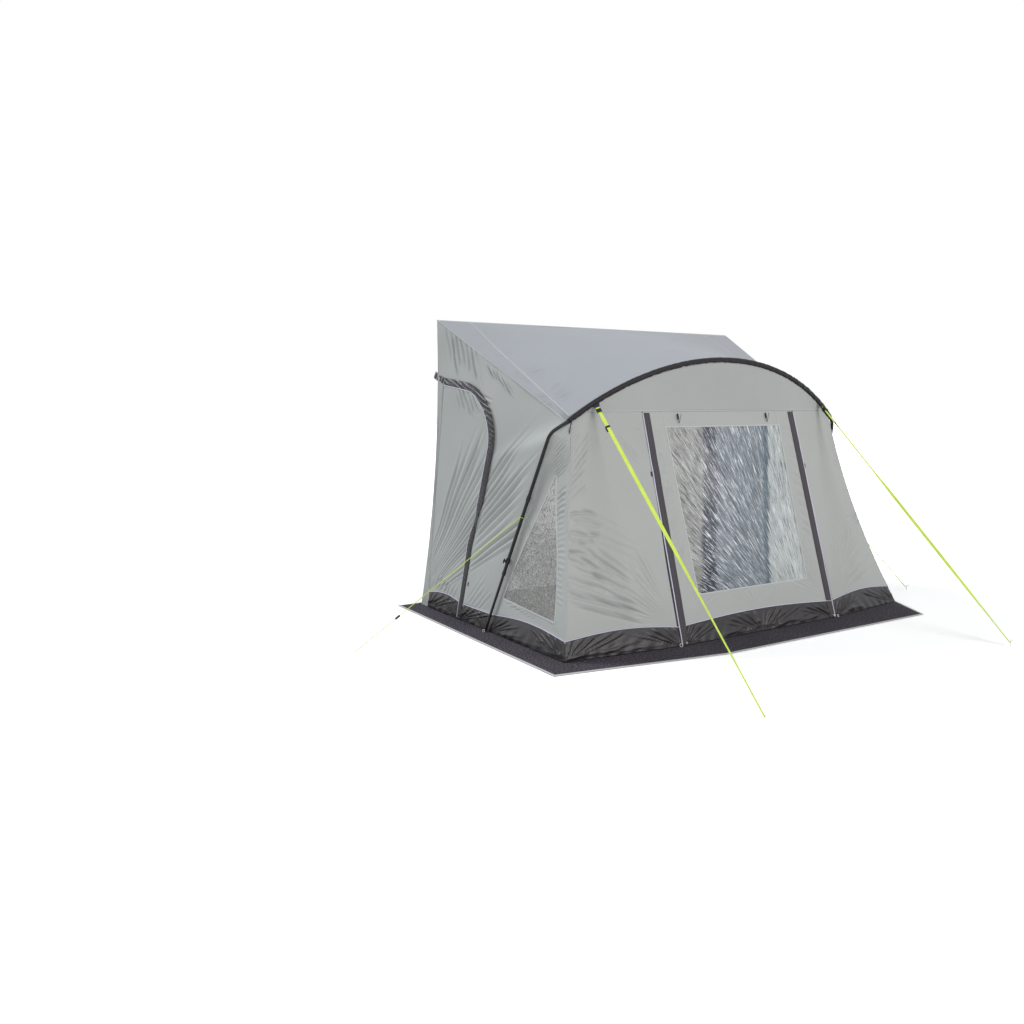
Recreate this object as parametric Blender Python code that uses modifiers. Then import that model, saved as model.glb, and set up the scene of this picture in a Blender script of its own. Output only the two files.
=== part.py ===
"""Porch awning for a caravan: a sewn shell on a hooped steel frame, with doors, windows, straps and guys.

Metres, +Z up. X runs along the caravan, +Y points at it, so the front of the awning faces -Y. The open
rear side stands in the plane rear_y. The origin is on the ground under the middle of the carpet's box.
Reach means a distance forward of the open rear side.
"""
import math

import bmesh
import bpy
from mathutils import Matrix, Vector

# Shell: where its seams run; the right corner is pitched a little further in than the left
rail_half = 1.625
rail_height = 2.379
rear_foot_half = 1.805
rear_hollow = 0.115
roof_seam_half = 1.318
hoop_foot_half = 1.784
hoop_foot_reach = 1.058
hoop_lean = 0.307
left_elbow_half = 1.509
left_elbow_height = 1.490
right_elbow_half = 1.425
right_elbow_height = 1.531
elbow_bend = 0.050
arch_end_half = 1.368
arch_end_height = 1.573
arch_rise = 0.449
corner_top_half = 1.345
left_corner_foot_half = 1.726
right_corner_foot_half = 1.710
corner_foot_reach = 2.023
left_corner_bulge = 0.030
right_corner_bulge = -0.084
top_seam_height = 1.636
top_seam_reach = 1.635
zip_top_half = 0.779
zip_foot_half = 0.792
zip_foot_reach = 2.131
leg_stand_off = 0.028
shell_drop = 0.023
shell_set_back = 0.021
valance_end_height = 0.003

# Cloth and its joins
cloth = 0.003
pane = 0.0015
pane_gap = 0.0009
clearance = 0.0003
fold_clearance = 0.0008
cloth_margin = 0.0012
zip_gap = 0.004
hinge_gap = 0.002
merge_distance = 0.00005

# Windows
window_top_half = 0.593
window_foot_half = 0.571
window_top_height = 1.520
window_foot_height = 0.325
side_window_foot_shares = ((0.07, 0.166), (0.86, 0.142))
side_window_tip_shares = ((0.56, 0.745), (0.50, 0.745))
side_window_bow_share = 0.10
side_window_steps = (8, 8, 2, 8)

# Side doors, as shares of the side wall's depth and height
door_hinge_share = 0.105
door_zip_share = 0.595
door_shoulder_share = 0.690
door_round_share = 0.235
door_top_rear_share = 0.815
door_top_front_share = 0.862

# Mud walls
mud_height = 0.135
mud_scallop = 0.034
mud_fold_depth = 0.013
mud_fold_taper = 0.075
mud_fold_spacing = 0.11
mud_leg_share = 0.19
mud_corner_share = 0.56

# Zip covers, zip sliders and toggles
front_cover_width = 0.055
front_cover_lap = 0.008
side_cover_width = 0.065
side_cover_lap = 0.030
cover_thickness = 0.0022
cover_top_margin = 0.012
cover_foot_share = 0.003
cover_start_share = 0.35
slider_length = 0.034
slider_width = 0.012
slider_thickness = 0.005
front_slider_offset = 0.019
side_slider_offset = 0.042
slider_seat = 0.00055
near_share = 0.01
front_slider_height = 1.190
side_slider_height = 0.300
toggle_length = 0.045
toggle_radius = 0.006
toggle_half = 0.462
toggle_drop = 0.020

# Frame
sleeve_radius = 0.018
pole_radius = 0.0110
corner_pole_radius = 0.0125
upper_leg_bore_radius = 0.0104
lower_leg_radius = 0.0100
lower_leg_length = 0.800
foot_radius = 0.0140
foot_height = 0.030
foot_lip_share = 0.2
leg_end_height = 0.4500
pole_joint_height = 1.0200
joint_collar_radius = 0.0155
joint_collar_length = 0.040
bush_radius = 0.0145
bush_length = 0.025
clamp_height = 0.555
clamp_radius = 0.0180
clamp_length = 0.034
clamp_boss_radius = 0.0075
clamp_boss_reach = 0.030
knob_hub_radius = 0.0070
knob_hub_length = 0.010
knob_wing_span = 0.036
knob_wing_thickness = 0.004
knob_wing_height_share = 0.9
guy_band_height = 0.885
guy_band_radius = 0.0150
guy_band_length = 0.016
bead_radius = 0.0035

# Straps, guys, buckles, runners and pegs
strap_width = 0.025
strap_thickness = 0.0015
strap_arch_half = 1.174
tab_length = 0.040
tab_top_width = 0.070
tab_foot_width = 0.030
tab_thickness = 0.003
buckle_length = 0.032
buckle_wall = 0.004
buckle_slack = 0.0010
buckle_distance = 0.085
guy_radius = 0.0020
runner_length = 0.040
runner_width = 0.014
runner_thickness = 0.008
runner_slack = 0.0008
peg_radius = 0.0030
peg_height = 0.045
peg_hook = 0.018

# Places on the ground, each as half-width and reach: left, then right
strap_peg_places = ((-1.407, 3.453), (1.180, 3.306))
guy_peg_places = ((-2.842, 1.136), (2.224, 1.772))
runner_distances = (1.120, 0.560)

# Carpet: its outline from the left rear corner, each point as sideways place and reach
carpet_half = 1.990
carpet_tuck = 0.070
carpet_reach = 2.430
carpet_thickness = 0.006
carpet_left_front = (1.940, 2.220)
carpet_left_bend = 0.650
carpet_right_front = 1.500
carpet_right_bend_reach = 1.530

# How finely the cloth is divided
roof_columns = 18
roof_rows = 6
wall_rows = 8
mud_columns_per_metre = 36
mud_row_shares = (0, 0.28, 0.56, 0.84, 1)
scallop_steps = 8
round_steps = 5
bend_steps = 5
tube_steps = 12

rear_y = (carpet_reach - carpet_tuck) / 2
arch_apex_height = arch_end_height + arch_rise
arch_radius = (arch_end_half ** 2 + arch_rise ** 2) / (2 * arch_rise)
sleeve_seat = sleeve_radius + clearance + cloth_margin
ground_top = carpet_thickness + clearance


# Setting up

def clear_scene():
    for item in list(bpy.data.objects):
        bpy.data.objects.remove(item, do_unlink=True)


def new_collection(name):
    collection = bpy.data.collections.new(name)
    bpy.context.scene.collection.children.link(collection)
    return collection


def new_material(name, colour, roughness, metallic=0.0, alpha=1.0):
    material = bpy.data.materials.new(name)
    material.use_nodes = True
    shader = material.node_tree.nodes["Principled BSDF"]
    shader.inputs["Base Color"].default_value = (*colour, 1.0)
    shader.inputs["Roughness"].default_value = roughness
    shader.inputs["Metallic"].default_value = metallic
    shader.inputs["Alpha"].default_value = alpha
    material.diffuse_color = (*colour, alpha)
    return material


def new_object(name, mesh_or_curve, material, collection):
    item = bpy.data.objects.new(name, mesh_or_curve)
    item.data.materials.append(material)
    collection.objects.link(item)
    return item


def finish_mesh(name, bm, material, collection, smooth_angle=0.6):
    mesh = bpy.data.meshes.new(name)
    bm.to_mesh(mesh)
    bm.free()
    item = new_object(name, mesh, material, collection)
    mesh.shade_smooth()
    mesh.set_sharp_from_angle(angle=smooth_angle)
    return item


# Places

def place(across, reach, height):
    return Vector((across, rear_y - reach, height))


def spaced(first, last, steps):
    return [first + (last - first) * index / steps for index in range(steps + 1)]


def sided(side, left, right):
    return left if side < 0 else right


def along(points, share):
    """The point at a share of the way along a chain of points."""
    lengths = [(b - a).length for a, b in zip(points, points[1:])]
    wanted = share * sum(lengths)
    for (a, b), length in zip(zip(points, points[1:]), lengths):
        if wanted <= length:
            return a.lerp(b, wanted / length)
        wanted -= length
    return points[-1].copy()


def hoop_reach(height):
    return hoop_foot_reach + hoop_lean * height


def hoop_point(across, height):
    return place(across, hoop_reach(height), height)


def arch_height(across):
    return arch_apex_height - arch_radius + math.sqrt(arch_radius ** 2 - across ** 2)


def arch_half_at(height):
    return math.sqrt(arch_radius ** 2 - (height - arch_apex_height + arch_radius) ** 2)


def arch_point(across):
    return hoop_point(across, arch_height(across))


def below_arch(across):
    """A point of the front wall where it meets the pole sleeve."""
    steepness = math.sqrt(arch_radius ** 2 - across ** 2) / arch_radius
    return arch_point(across) - Vector((0, 0, sleeve_seat / steepness))


def rear_edge(side, share):
    foot = place(side * rear_foot_half, 0, ground_top)
    top = place(side * rail_half, 0, rail_height)
    hollow = rear_hollow * 4 * share * (1 - share)
    return foot.lerp(top, share) - Vector((0, hollow, 0))


def rear_line(side, share):
    return place(side * rear_foot_half, 0, ground_top).lerp(place(side * rail_half, 0, rail_height), share)


def elbow_point(side):
    half = sided(side, left_elbow_half, right_elbow_half)
    return hoop_point(side * half, sided(side, left_elbow_height, right_elbow_height))


def leg_line(side, share):
    """Where the cloth turns from the side wall to the side gusset, just inside the leg."""
    foot = place(side * (hoop_foot_half - leg_stand_off), hoop_foot_reach, ground_top)
    elbow = elbow_point(side) - Vector((side * leg_stand_off, 0, 0))
    return along([foot, elbow, shell_corner(side)], share)


def shell_corner(side):
    """The cloth corner behind and under the end of the pole sleeve."""
    end = arch_point(side * arch_end_half)
    return end + Vector((-side * shell_set_back, shell_set_back, -shell_drop))


def side_point(side, depth, share):
    return rear_line(side, share).lerp(leg_line(side, share), depth)


def at_height(point_of, side, across, height):
    """The point of a wall at this place across it that is this high above the ground."""
    low, high = 0.0, 1.0
    for _ in range(40):
        middle = (low + high) / 2
        if point_of(side, across, middle).z < height:
            low = middle
        else:
            high = middle
    return point_of(side, across, low)


def corner_foot_half(side):
    return sided(side, left_corner_foot_half, right_corner_foot_half)


def corner_seam(side, share):
    foot = place(side * corner_foot_half(side), corner_foot_reach, ground_top)
    top = below_arch(side * corner_top_half)
    bulge = sided(side, left_corner_bulge, right_corner_bulge) * 4 * share * (1 - share)
    return foot.lerp(top, share) + Vector((side * bulge, -bulge, 0)) / 2


def gusset_point(side, across, share):
    return leg_line(side, share).lerp(corner_seam(side, share), across)


def zip_line(side, share):
    foot = place(side * zip_foot_half, zip_foot_reach, ground_top)
    top = place(side * zip_top_half, top_seam_reach, top_seam_height)
    return foot.lerp(top, share)


def corner_top(side, across):
    """The upper edge of a front corner panel, from the corner seam to the zip."""
    end_half = arch_half_at(top_seam_height + sleeve_seat * arch_radius
                            / math.sqrt(arch_radius ** 2 - corner_top_half ** 2))
    shoulder = place(side * end_half, hoop_reach(top_seam_height), top_seam_height)
    return along([below_arch(side * corner_top_half), shoulder, zip_line(side, 1)], across)


def corner_point(side, across, share):
    foot = corner_seam(side, 0).lerp(zip_line(side, 0), across)
    straight = foot.lerp(corner_top(side, across), share)
    seam_bulge = corner_seam(side, share) - corner_seam(side, 0).lerp(corner_seam(side, 1), share)
    return straight + seam_bulge * (1 - across) ** 2


def front_point(side, across, share):
    """A point of the zip-out front panel, across from the zip on this side to the other one."""
    return zip_line(side, share).lerp(zip_line(-side, share), across)


def scallop(share):
    """Height of the seam between wall and mud wall, between two pegs: a chain of straight stretches."""
    place_along = share * scallop_steps
    before = min(scallop_steps - 1, max(0, math.floor(place_along)))
    low, high = (math.sin(math.pi * step / scallop_steps) for step in (before, before + 1))
    return mud_height + mud_scallop * (low + (high - low) * (place_along - before))


# Building sheets and solids

def sheet_grid(points, outward, closed=False):
    """An open sheet through rows of points, its faces turned outwards."""
    rows, columns = len(points), len(points[0])
    bm = bmesh.new()
    bmesh.ops.create_grid(bm, x_segments=columns - 1, y_segments=rows - 1, size=1)
    for vert in bm.verts:
        column = round((vert.co.x + 1) / 2 * (columns - 1))
        row = round((vert.co.y + 1) / 2 * (rows - 1))
        vert.co = points[row][column]
    if closed:
        bmesh.ops.remove_doubles(bm, verts=bm.verts, dist=merge_distance)
    bm.normal_update()
    if sum(face.normal.dot(outward) * face.calc_area() for face in bm.faces) < 0:
        bmesh.ops.reverse_faces(bm, faces=bm.faces)
    return bm


def sheet(name, points, outward, material, collection, thickness=cloth, closed=False):
    item = finish_mesh(name, sheet_grid(points, outward, closed), material, collection)
    solidify = item.modifiers.new("thickness", "SOLIDIFY")
    solidify.thickness = thickness
    solidify.offset = 1.0
    return item


def lifted(points, outward, lift):
    """The same rows of points, raised off their surface."""
    bm = sheet_grid(points, outward)
    lowest = [[None] * len(points[0]) for _ in points]
    where = {}
    for vert in bm.verts:
        where[tuple(round(value / merge_distance) for value in vert.co)] = vert.normal.copy()
    bm.free()
    for row, line in enumerate(points):
        for column, point in enumerate(line):
            normal = where[tuple(round(value / merge_distance) for value in Vector(point))]
            lowest[row][column] = Vector(point) + normal * lift
    return lowest


def turned(name, profile, start, direction, material, collection, steps=tube_steps):
    """A solid turned about a line: profile points are radius and distance, outer side from top to bottom."""
    bm = bmesh.new()
    verts = [bm.verts.new((radius, 0, distance)) for radius, distance in profile]
    closed = profile[0][0] > 0 and profile[-1][0] > 0
    pairs = list(zip(verts, verts[1:])) + ([(verts[-1], verts[0])] if closed else [])
    for a, b in pairs:
        bm.edges.new((a, b))
    item = finish_mesh(name, bm, material, collection)
    screw = item.modifiers.new("turn", "SCREW")
    screw.steps = steps
    screw.render_steps = steps
    screw.use_merge_vertices = True
    screw.merge_threshold = merge_distance
    item.matrix_world = frame_along(start, direction)
    return item


def frame_along(start, direction, across=Vector((1, 0, 0))):
    """A frame at start whose Z runs along direction and whose X lies as near across as it can."""
    z_axis = direction.normalized()
    x_axis = (across - z_axis * across.dot(z_axis)).normalized()
    y_axis = z_axis.cross(x_axis)
    frame = Matrix((x_axis, y_axis, z_axis)).transposed().to_4x4()
    frame.translation = start
    return frame


def ring(name, start, direction, inner, outer, length, material, collection):
    profile = [(outer, length), (outer, 0), (inner, 0), (inner, length)]
    return turned(name, profile, start, direction, material, collection)


def wire(name, points, radius, material, collection, bevel_resolution=2):
    curve = bpy.data.curves.new(name, "CURVE")
    curve.dimensions = "3D"
    spline = curve.splines.new("POLY")
    spline.points.add(len(points) - 1)
    for target, point in zip(spline.points, points):
        target.co = (*point, 1.0)
    curve.bevel_depth = radius
    curve.bevel_resolution = bevel_resolution
    curve.use_fill_caps = True
    return new_object(name, curve, material, collection)


def wire_wall(name, points, inner, outer, material, collection):
    """A bent tube with an open bore."""
    pipe = wire(name + "_path", points, inner, material, collection, bevel_resolution=4)
    pipe.data.use_fill_caps = False
    mesh = bpy.data.meshes.new_from_object(pipe.evaluated_get(bpy.context.evaluated_depsgraph_get()))
    bpy.data.objects.remove(pipe, do_unlink=True)
    item = new_object(name, mesh, material, collection)
    bm = bmesh.new()
    bm.from_mesh(mesh)
    bmesh.ops.remove_doubles(bm, verts=bm.verts, dist=merge_distance)
    bmesh.ops.recalc_face_normals(bm, faces=bm.faces)
    bm.to_mesh(mesh)
    bm.free()
    solidify = item.modifiers.new("thickness", "SOLIDIFY")
    solidify.thickness = outer - inner
    solidify.offset = 1.0
    mesh.shade_smooth()
    return item


def block_mesh(frame, size):
    """A box with its middle at the frame's origin."""
    bm = bmesh.new()
    bmesh.ops.create_cube(bm, size=1, matrix=frame @ Matrix.Diagonal((*size, 1)))
    return bm


def rod_mesh(frame, radius, length, steps=tube_steps):
    bm = bmesh.new()
    bmesh.ops.create_cone(bm, cap_ends=True, segments=steps, radius1=radius, radius2=radius, depth=length,
                          matrix=frame @ Matrix.Translation((0, 0, length / 2)))
    return bm


def cutter(name, bm, cutters):
    mesh = bpy.data.meshes.new(name)
    bm.to_mesh(mesh)
    bm.free()
    item = bpy.data.objects.new(name, mesh)
    cutters.objects.link(item)
    item.hide_render = True
    item.display_type = "WIRE"
    return item


def combine(item, other, operation):
    boolean = item.modifiers.new(other.name, "BOOLEAN")
    boolean.operation = operation
    boolean.object = other


# Sewn shell

def roof_seat(across):
    """Where the roof's front edge meets the pole sleeve."""
    rail = place(across / corner_top_half * roof_seam_half, 0, rail_height)
    arch = arch_point(across)
    return arch + (rail - arch).normalized() * sleeve_seat


def roof_panel(looks, parts):
    """Its sewn side gores run from the rail's ends to the corners behind the sleeve."""
    rail_edge = [place(-rail_half, 0, rail_height), place(-(rail_half + roof_seam_half) / 2, 0, rail_height)]
    front_edge = [shell_corner(-1) + Vector((0, 0, fold_clearance))]
    front_edge.append(front_edge[0].lerp(roof_seat(-corner_top_half), 0.5))
    for across in spaced(-1, 1, roof_columns):
        rail_edge.append(place(across * roof_seam_half, 0, rail_height))
        front_edge.append(roof_seat(across * corner_top_half))
    mirrored = Matrix.Diagonal((-1, 1, 1))
    rail_edge += [mirrored @ rail_edge[1], mirrored @ rail_edge[0]]
    front_edge += [mirrored @ front_edge[1], mirrored @ front_edge[0]]
    sheet("roof_panel", ring_rows(rail_edge, front_edge, roof_rows), Vector((0, 0, 1)), looks["roof"], parts)


def front_valance(looks, parts):
    reach_in = math.tan(math.atan2(zip_foot_reach - top_seam_reach, top_seam_height)) * cloth
    seam_height = top_seam_height + reach_in + clearance
    end_half = arch_half_at(seam_height + valance_end_height
                            + sleeve_seat * arch_radius / math.sqrt(arch_radius ** 2 - corner_top_half ** 2))
    rows = []
    for share in spaced(0, 1, 4):
        row = []
        for across in spaced(-end_half, end_half, roof_columns):
            outer = max(0, abs(across) - zip_top_half) / (end_half - zip_top_half)
            end_reach = hoop_reach(seam_height)
            seam = place(across, top_seam_reach + (end_reach - top_seam_reach) * outer, seam_height)
            row.append(seam.lerp(below_arch(across), share))
        rows.append(row)
    sheet("front_valance", rows, Vector((0, -1, 0)), looks["front"], parts)


def front_corner(side, name, looks, parts):
    width = corner_foot_half(side) - zip_foot_half
    foot, top = [], []
    for share in spaced(0, 1, scallop_steps):
        across = clearance / width + (1 - (clearance + zip_gap / 2) / width) * share
        foot.append(at_height(corner_point, side, across, scallop(share) + fold_clearance))
        top.append(corner_point(side, across, 1 - clearance))
    sheet(name, ring_rows(foot, top, wall_rows), Vector((0, -1, 0)), looks["front"], parts)


def ring_rows(inner, outer, steps):
    return [[a.lerp(b, share) for a, b in zip(inner, outer)] for share in spaced(0, 1, steps)]


def frame_loop(corners, steps):
    """Share pairs round a four-cornered outline, closed, with the same steps on each side."""
    loop = []
    for (a, b), count in zip(zip(corners, corners[1:] + corners[:1]), steps):
        loop += [tuple(p + (q - p) * share for p, q in zip(a, b)) for share in spaced(0, 1, count)[:-1]]
    return loop + [loop[0]]


def window_shares(grow):
    """The front window's corners as shares of the front panel, grown on every side."""
    low = (window_foot_height - grow) / top_seam_height
    high = (window_top_height + grow) / top_seam_height
    width = 2 * zip_foot_half
    foot = (window_foot_half + grow) / width
    top = (window_top_half + grow) / (2 * zip_top_half)
    return [(0.5 - foot, low), (0.5 + foot, low), (0.5 + top, high), (0.5 - top, high)]


def front_panel(looks, parts):
    steps = (scallop_steps, wall_rows, scallop_steps, wall_rows)
    edge = (zip_gap / 2) / (2 * zip_foot_half)
    top = 1 - hinge_gap / top_seam_height
    outer = []
    for along_share, share in frame_loop([(0, 0), (1, 0), (1, 1), (0, 1)], steps):
        across = edge + (1 - 2 * edge) * along_share
        foot = at_height(front_point, -1, across, scallop(along_share) + clearance)
        outer.append(foot.lerp(front_point(-1, across, top), share))
    inner = [front_point(-1, *shares) for shares in frame_loop(window_shares(pane_gap), steps)]
    sheet("front_panel", ring_rows(inner, outer, 3), Vector((0, -1, 0)), looks["front"], parts, closed=True)


def front_window(looks, parts):
    low_left, low_right, high_right, high_left = window_shares(0)
    rows = []
    for share in spaced(0, 1, 3):
        left = tuple(a + (b - a) * share for a, b in zip(low_left, high_left))
        right = tuple(a + (b - a) * share for a, b in zip(low_right, high_right))
        rows.append([front_point(-1, left[0] + (right[0] - left[0]) * across, left[1]) for across in spaced(0, 1, 4)])
    raised = lifted(rows, Vector((0, -1, 0)), (cloth - pane) / 2)
    sheet("front_window", raised, Vector((0, -1, 0)), looks["clear"], parts, thickness=pane)


def door_outline(grow):
    """Share pairs of the door's edge: up the hinge, over the round top, down the zip; grown outwards."""
    depth_grow = grow / hoop_foot_reach
    height_grow = grow / rail_height
    hinge = door_hinge_share - depth_grow
    zip_side = door_zip_share + depth_grow
    shoulder = door_shoulder_share
    round_start = door_zip_share - door_round_share
    top = []
    for share in spaced(0, 1, 3)[:-1]:
        height = door_top_rear_share + (door_top_front_share - door_top_rear_share) * share
        top.append((hinge + (round_start - hinge) * share, height + height_grow))
    for turn in spaced(0, math.pi / 2, round_steps):
        across = round_start + (zip_side - round_start) * math.sin(turn)
        height = shoulder + (door_top_front_share + height_grow - shoulder) * math.cos(turn)
        top.append((across, height))
    return hinge, zip_side, shoulder, top


def side_wall(side, name, looks, parts):
    hinge, zip_side, shoulder, top = door_outline(zip_gap / 2)
    rear_steps, front_steps = 6, 8
    trim = clearance / hoop_foot_reach
    inner = [side_point(side, hinge, share) for share in spaced(0, top[0][1], rear_steps)[:-1]]
    outer = [rear_edge(side, share) for share in spaced(0, 1, rear_steps)[:-1]]
    inner += [side_point(side, *shares) for shares in top]
    high = 1 - clearance / rail_height
    outer += [side_point(side, share * (1 - trim), high) for share in spaced(0, 1, len(top) - 1)]
    for depth, start, line in ((zip_side, shoulder, inner), (1 - trim, high, outer)):
        low, high_end = mud_height + clearance, side_point(side, depth, start).z
        line += [at_height(side_point, side, depth, height) for height in spaced(high_end, low, front_steps)[1:]]
    sheet(name, ring_rows(inner, outer, 4), Vector((side, 0, 0)), looks["side"], parts)


def side_door(side, name, looks, parts):
    hinge, zip_side, shoulder, top = door_outline(-hinge_gap)
    foot = []
    for across in spaced(0, 1, len(top) - 1):
        depth = hinge + (zip_side - hinge) * across
        foot.append(at_height(side_point, side, depth, scallop(across) + clearance))
    rows = ring_rows(foot, [side_point(side, *shares) for shares in top], wall_rows)
    sheet(name, rows, Vector((side, 0, 0)), looks["side"], parts)


def side_window_loop(side, grow):
    """The side window's corners as shares of the gusset, grown on every side."""
    width_grow = grow / (corner_foot_reach - hoop_foot_reach)
    height_grow = grow / elbow_point(side).z
    (foot_rear, foot_rear_low), (foot_front, foot_front_low) = side_window_foot_shares
    (tip_front, tip_high), (tip_rear, _) = side_window_tip_shares
    return [(foot_rear - 2 * width_grow, foot_rear_low - height_grow),
            (foot_front + width_grow, foot_front_low - height_grow),
            (tip_front + 2 * width_grow, tip_high + height_grow),
            (tip_rear - 2 * width_grow, tip_high + height_grow)]


def bowed(side, loop):
    """The window's outline on the gusset, with its upright edges bowed outwards."""
    points = []
    low, high = side_window_foot_shares[1][1], side_window_tip_shares[0][1]
    foot_middle = sum(across for across, _ in side_window_foot_shares) / 2
    tip_middle = sum(across for across, _ in side_window_tip_shares) / 2
    for across, share in loop:
        rise = min(1, max(0, (share - low) / (high - low)))
        middle = foot_middle + (tip_middle - foot_middle) * rise
        bow = math.copysign(side_window_bow_share, across - middle) * math.sin(math.pi * rise)
        points.append(gusset_point(side, across + bow, share))
    return points


def side_gusset(side, name, looks, parts):
    steps = side_window_steps
    trim = clearance / (corner_foot_reach - hoop_foot_reach)
    high = gusset_point(side, 0.5, 1).z - 2 * cloth_margin
    outer = []
    for along_share, share in frame_loop([(0, 0), (1, 0), (1, 1), (0, 1)], steps):
        across = trim + (1 - 2 * trim) * along_share
        low = scallop(along_share) + fold_clearance
        outer.append(at_height(gusset_point, side, across, low + (high - low) * share))
    inner = bowed(side, frame_loop(side_window_loop(side, pane_gap), steps))
    sheet(name, ring_rows(inner, outer, 2), Vector((side, 0, 0)), looks["side"], parts, closed=True)


def side_window(side, name, looks, parts):
    foot_steps, front_steps, tip_steps, rear_steps = side_window_steps
    loop = frame_loop(side_window_loop(side, 0), side_window_steps)
    front = bowed(side, loop[foot_steps:foot_steps + front_steps + 1])
    rear = bowed(side, loop[foot_steps + front_steps + tip_steps:][::-1])
    rows = [[a.lerp(b, across) for across in spaced(0, 1, 3)] for a, b in zip(rear, front)]
    raised = lifted(rows, Vector((side, 0, 0)), (cloth - pane) / 2)
    sheet(name, raised, Vector((side, 0, 0)), looks["clear"], parts, thickness=pane)


# Mud walls

def mud_fold(distance, length, share):
    """How far the loose cloth stands out: folds that fan from the pegs and die away at them."""
    edge = min(distance, length - distance)
    taper = min(1.0, max(0.0, (edge - mud_fold_taper) / mud_fold_taper))
    fan = math.sin(math.pi * distance / length) * (1 - share)
    wave = 0.5 - 0.5 * math.cos(2 * math.pi * (distance / mud_fold_spacing + fan))
    hang = math.cos(math.pi / 2 * min(1.0, share / mud_row_shares[-2])) ** 2
    return mud_fold_depth * taper * wave * hang


def mud_sheet(name, edge_pair, pegged_shares, outward, looks, parts):
    """A mud wall whose upper point, foot and outward side are given at each share along it."""
    lines = []
    for start, finish in zip(pegged_shares, pegged_shares[1:]):
        length = (edge_pair(finish - merge_distance)[1] - edge_pair(start)[1]).length
        columns = max(3, round(length * mud_columns_per_metre))
        for column in range(columns):
            share = start + (finish - start) * column / columns
            lines.append((*edge_pair(share), length * column / columns, length))
    lines.append((*edge_pair(1), 0, 1))
    rows = []
    for share in mud_row_shares:
        rows.append([foot.lerp(upper, share) + normal.normalized() * mud_fold(distance, length, share)
                     for upper, foot, normal, distance, length in lines])
    sheet(name, rows, outward, looks["mud"], parts)


def front_mud_flap(looks, parts):
    edge = (zip_gap / 2) / (2 * zip_foot_half)

    def edge_pair(across):
        inside = edge + (1 - 2 * edge) * across
        upper = at_height(front_point, -1, inside, scallop(across))
        return upper, front_point(-1, inside, 0), front_outward()

    mud_sheet("front_mud_flap", edge_pair, (0, 1), Vector((0, -1, 0)), looks, parts)


def mud_wall(side, name, looks, parts):
    """From the side zip past the leg and round the front corner to the front zip."""
    zip_side = door_outline(zip_gap / 2)[1]
    end = 1 - zip_gap / 2 / (corner_foot_half(side) - zip_foot_half)

    def edge_pair(across):
        if across < mud_leg_share:
            depth = zip_side + (1 - zip_side) * across / mud_leg_share
            upper = at_height(side_point, side, depth, mud_height)
            return upper, side_point(side, depth, 0), Vector((side, 0, 0))
        if across < mud_corner_share:
            inside = (across - mud_leg_share) / (mud_corner_share - mud_leg_share)
            upper = at_height(gusset_point, side, inside, scallop(inside))
            return upper, gusset_point(side, inside, 0), Vector((side, -inside / 2, 0))
        inside = (across - mud_corner_share) / (1 - mud_corner_share)
        upper = at_height(corner_point, side, inside * end, scallop(inside))
        return upper, corner_point(side, inside * end, 0), Vector((0, -1, 0))

    mud_sheet(name, edge_pair, (0, mud_leg_share, mud_corner_share, 1), Vector((side, -1, 0)), looks, parts)


def door_mud_flap(side, name, looks, parts):
    hinge, zip_side, _, _ = door_outline(-hinge_gap)

    def edge_pair(across):
        depth = hinge + (zip_side - hinge) * across
        upper = at_height(side_point, side, depth, scallop(across))
        return upper, side_point(side, depth, 0), Vector((side, 0, 0))

    mud_sheet(name, edge_pair, (0, 1), Vector((side, 0, 0)), looks, parts)


# Zip covers, sliders and toggles

def front_zip_cover(side, name, looks, parts):
    width = 2 * zip_foot_half
    outer_share = -front_cover_lap / width
    inner_share = (front_cover_width - front_cover_lap) / width
    rows = []
    for share in spaced(cover_foot_share, 1 - cover_top_margin / top_seam_height, 6):
        rows.append([front_point(side, across, share) for across in (outer_share, inner_share)])
    outward = front_outward()
    raised = [[point + outward * (cloth + fold_clearance) for point in row] for row in rows]
    sheet(name, raised, Vector((0, -1, 0)), looks["cover"], parts, thickness=cover_thickness)


def front_outward():
    """Square to the front panel, pointing away from the awning."""
    return Vector((0, -top_seam_height, zip_foot_reach - top_seam_reach)).normalized()


def side_zip_cover(side, name, looks, parts):
    _, zip_side, shoulder, top = door_outline(0)
    start = tuple(a + (b - a) * cover_start_share for a, b in zip(top[0], top[1]))
    shares = [start] + top[1:] + [(zip_side, share) for share in spaced(shoulder, cover_foot_share, 7)[1:]]
    centre = [side_point(side, *pair) for pair in shares]
    rows = []
    for index, point in enumerate(centre):
        ahead = centre[min(index + 1, len(centre) - 1)]
        behind = centre[max(index - 1, 0)]
        depth, share = shares[index]
        normal = side_normal(side, depth, share)
        lateral = (ahead - behind).normalized().cross(normal) * side
        foot = point + normal * (cloth + fold_clearance)
        rows.append([foot + lateral * side_cover_lap, foot - lateral * (side_cover_width - side_cover_lap)])
    sheet(name, rows, Vector((side, 0, 0)), looks["cover"], parts, thickness=cover_thickness)


def side_normal(side, depth, share):
    run = side_point(side, depth + near_share, share) - side_point(side, depth - near_share, share)
    rise = side_point(side, depth, share + near_share) - side_point(side, depth, share - near_share)
    normal = run.cross(rise).normalized()
    return normal if normal.x * side > 0 else -normal


def slider(name, middle, upwards, outward, looks, parts):
    """A zip slider with its pull, lying along the zip on the outside of the cloth."""
    stand = middle + outward * (cloth + slider_seat + slider_thickness / 2)
    frame = frame_along(stand, upwards, across=upwards.cross(outward))
    bm = block_mesh(frame, (slider_width, slider_thickness, slider_length))
    item = finish_mesh(name, bm, looks["fitting"], parts)
    bevel = item.modifiers.new("round", "BEVEL")
    bevel.width = slider_thickness / 4
    bevel.segments = 1
    return item


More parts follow.
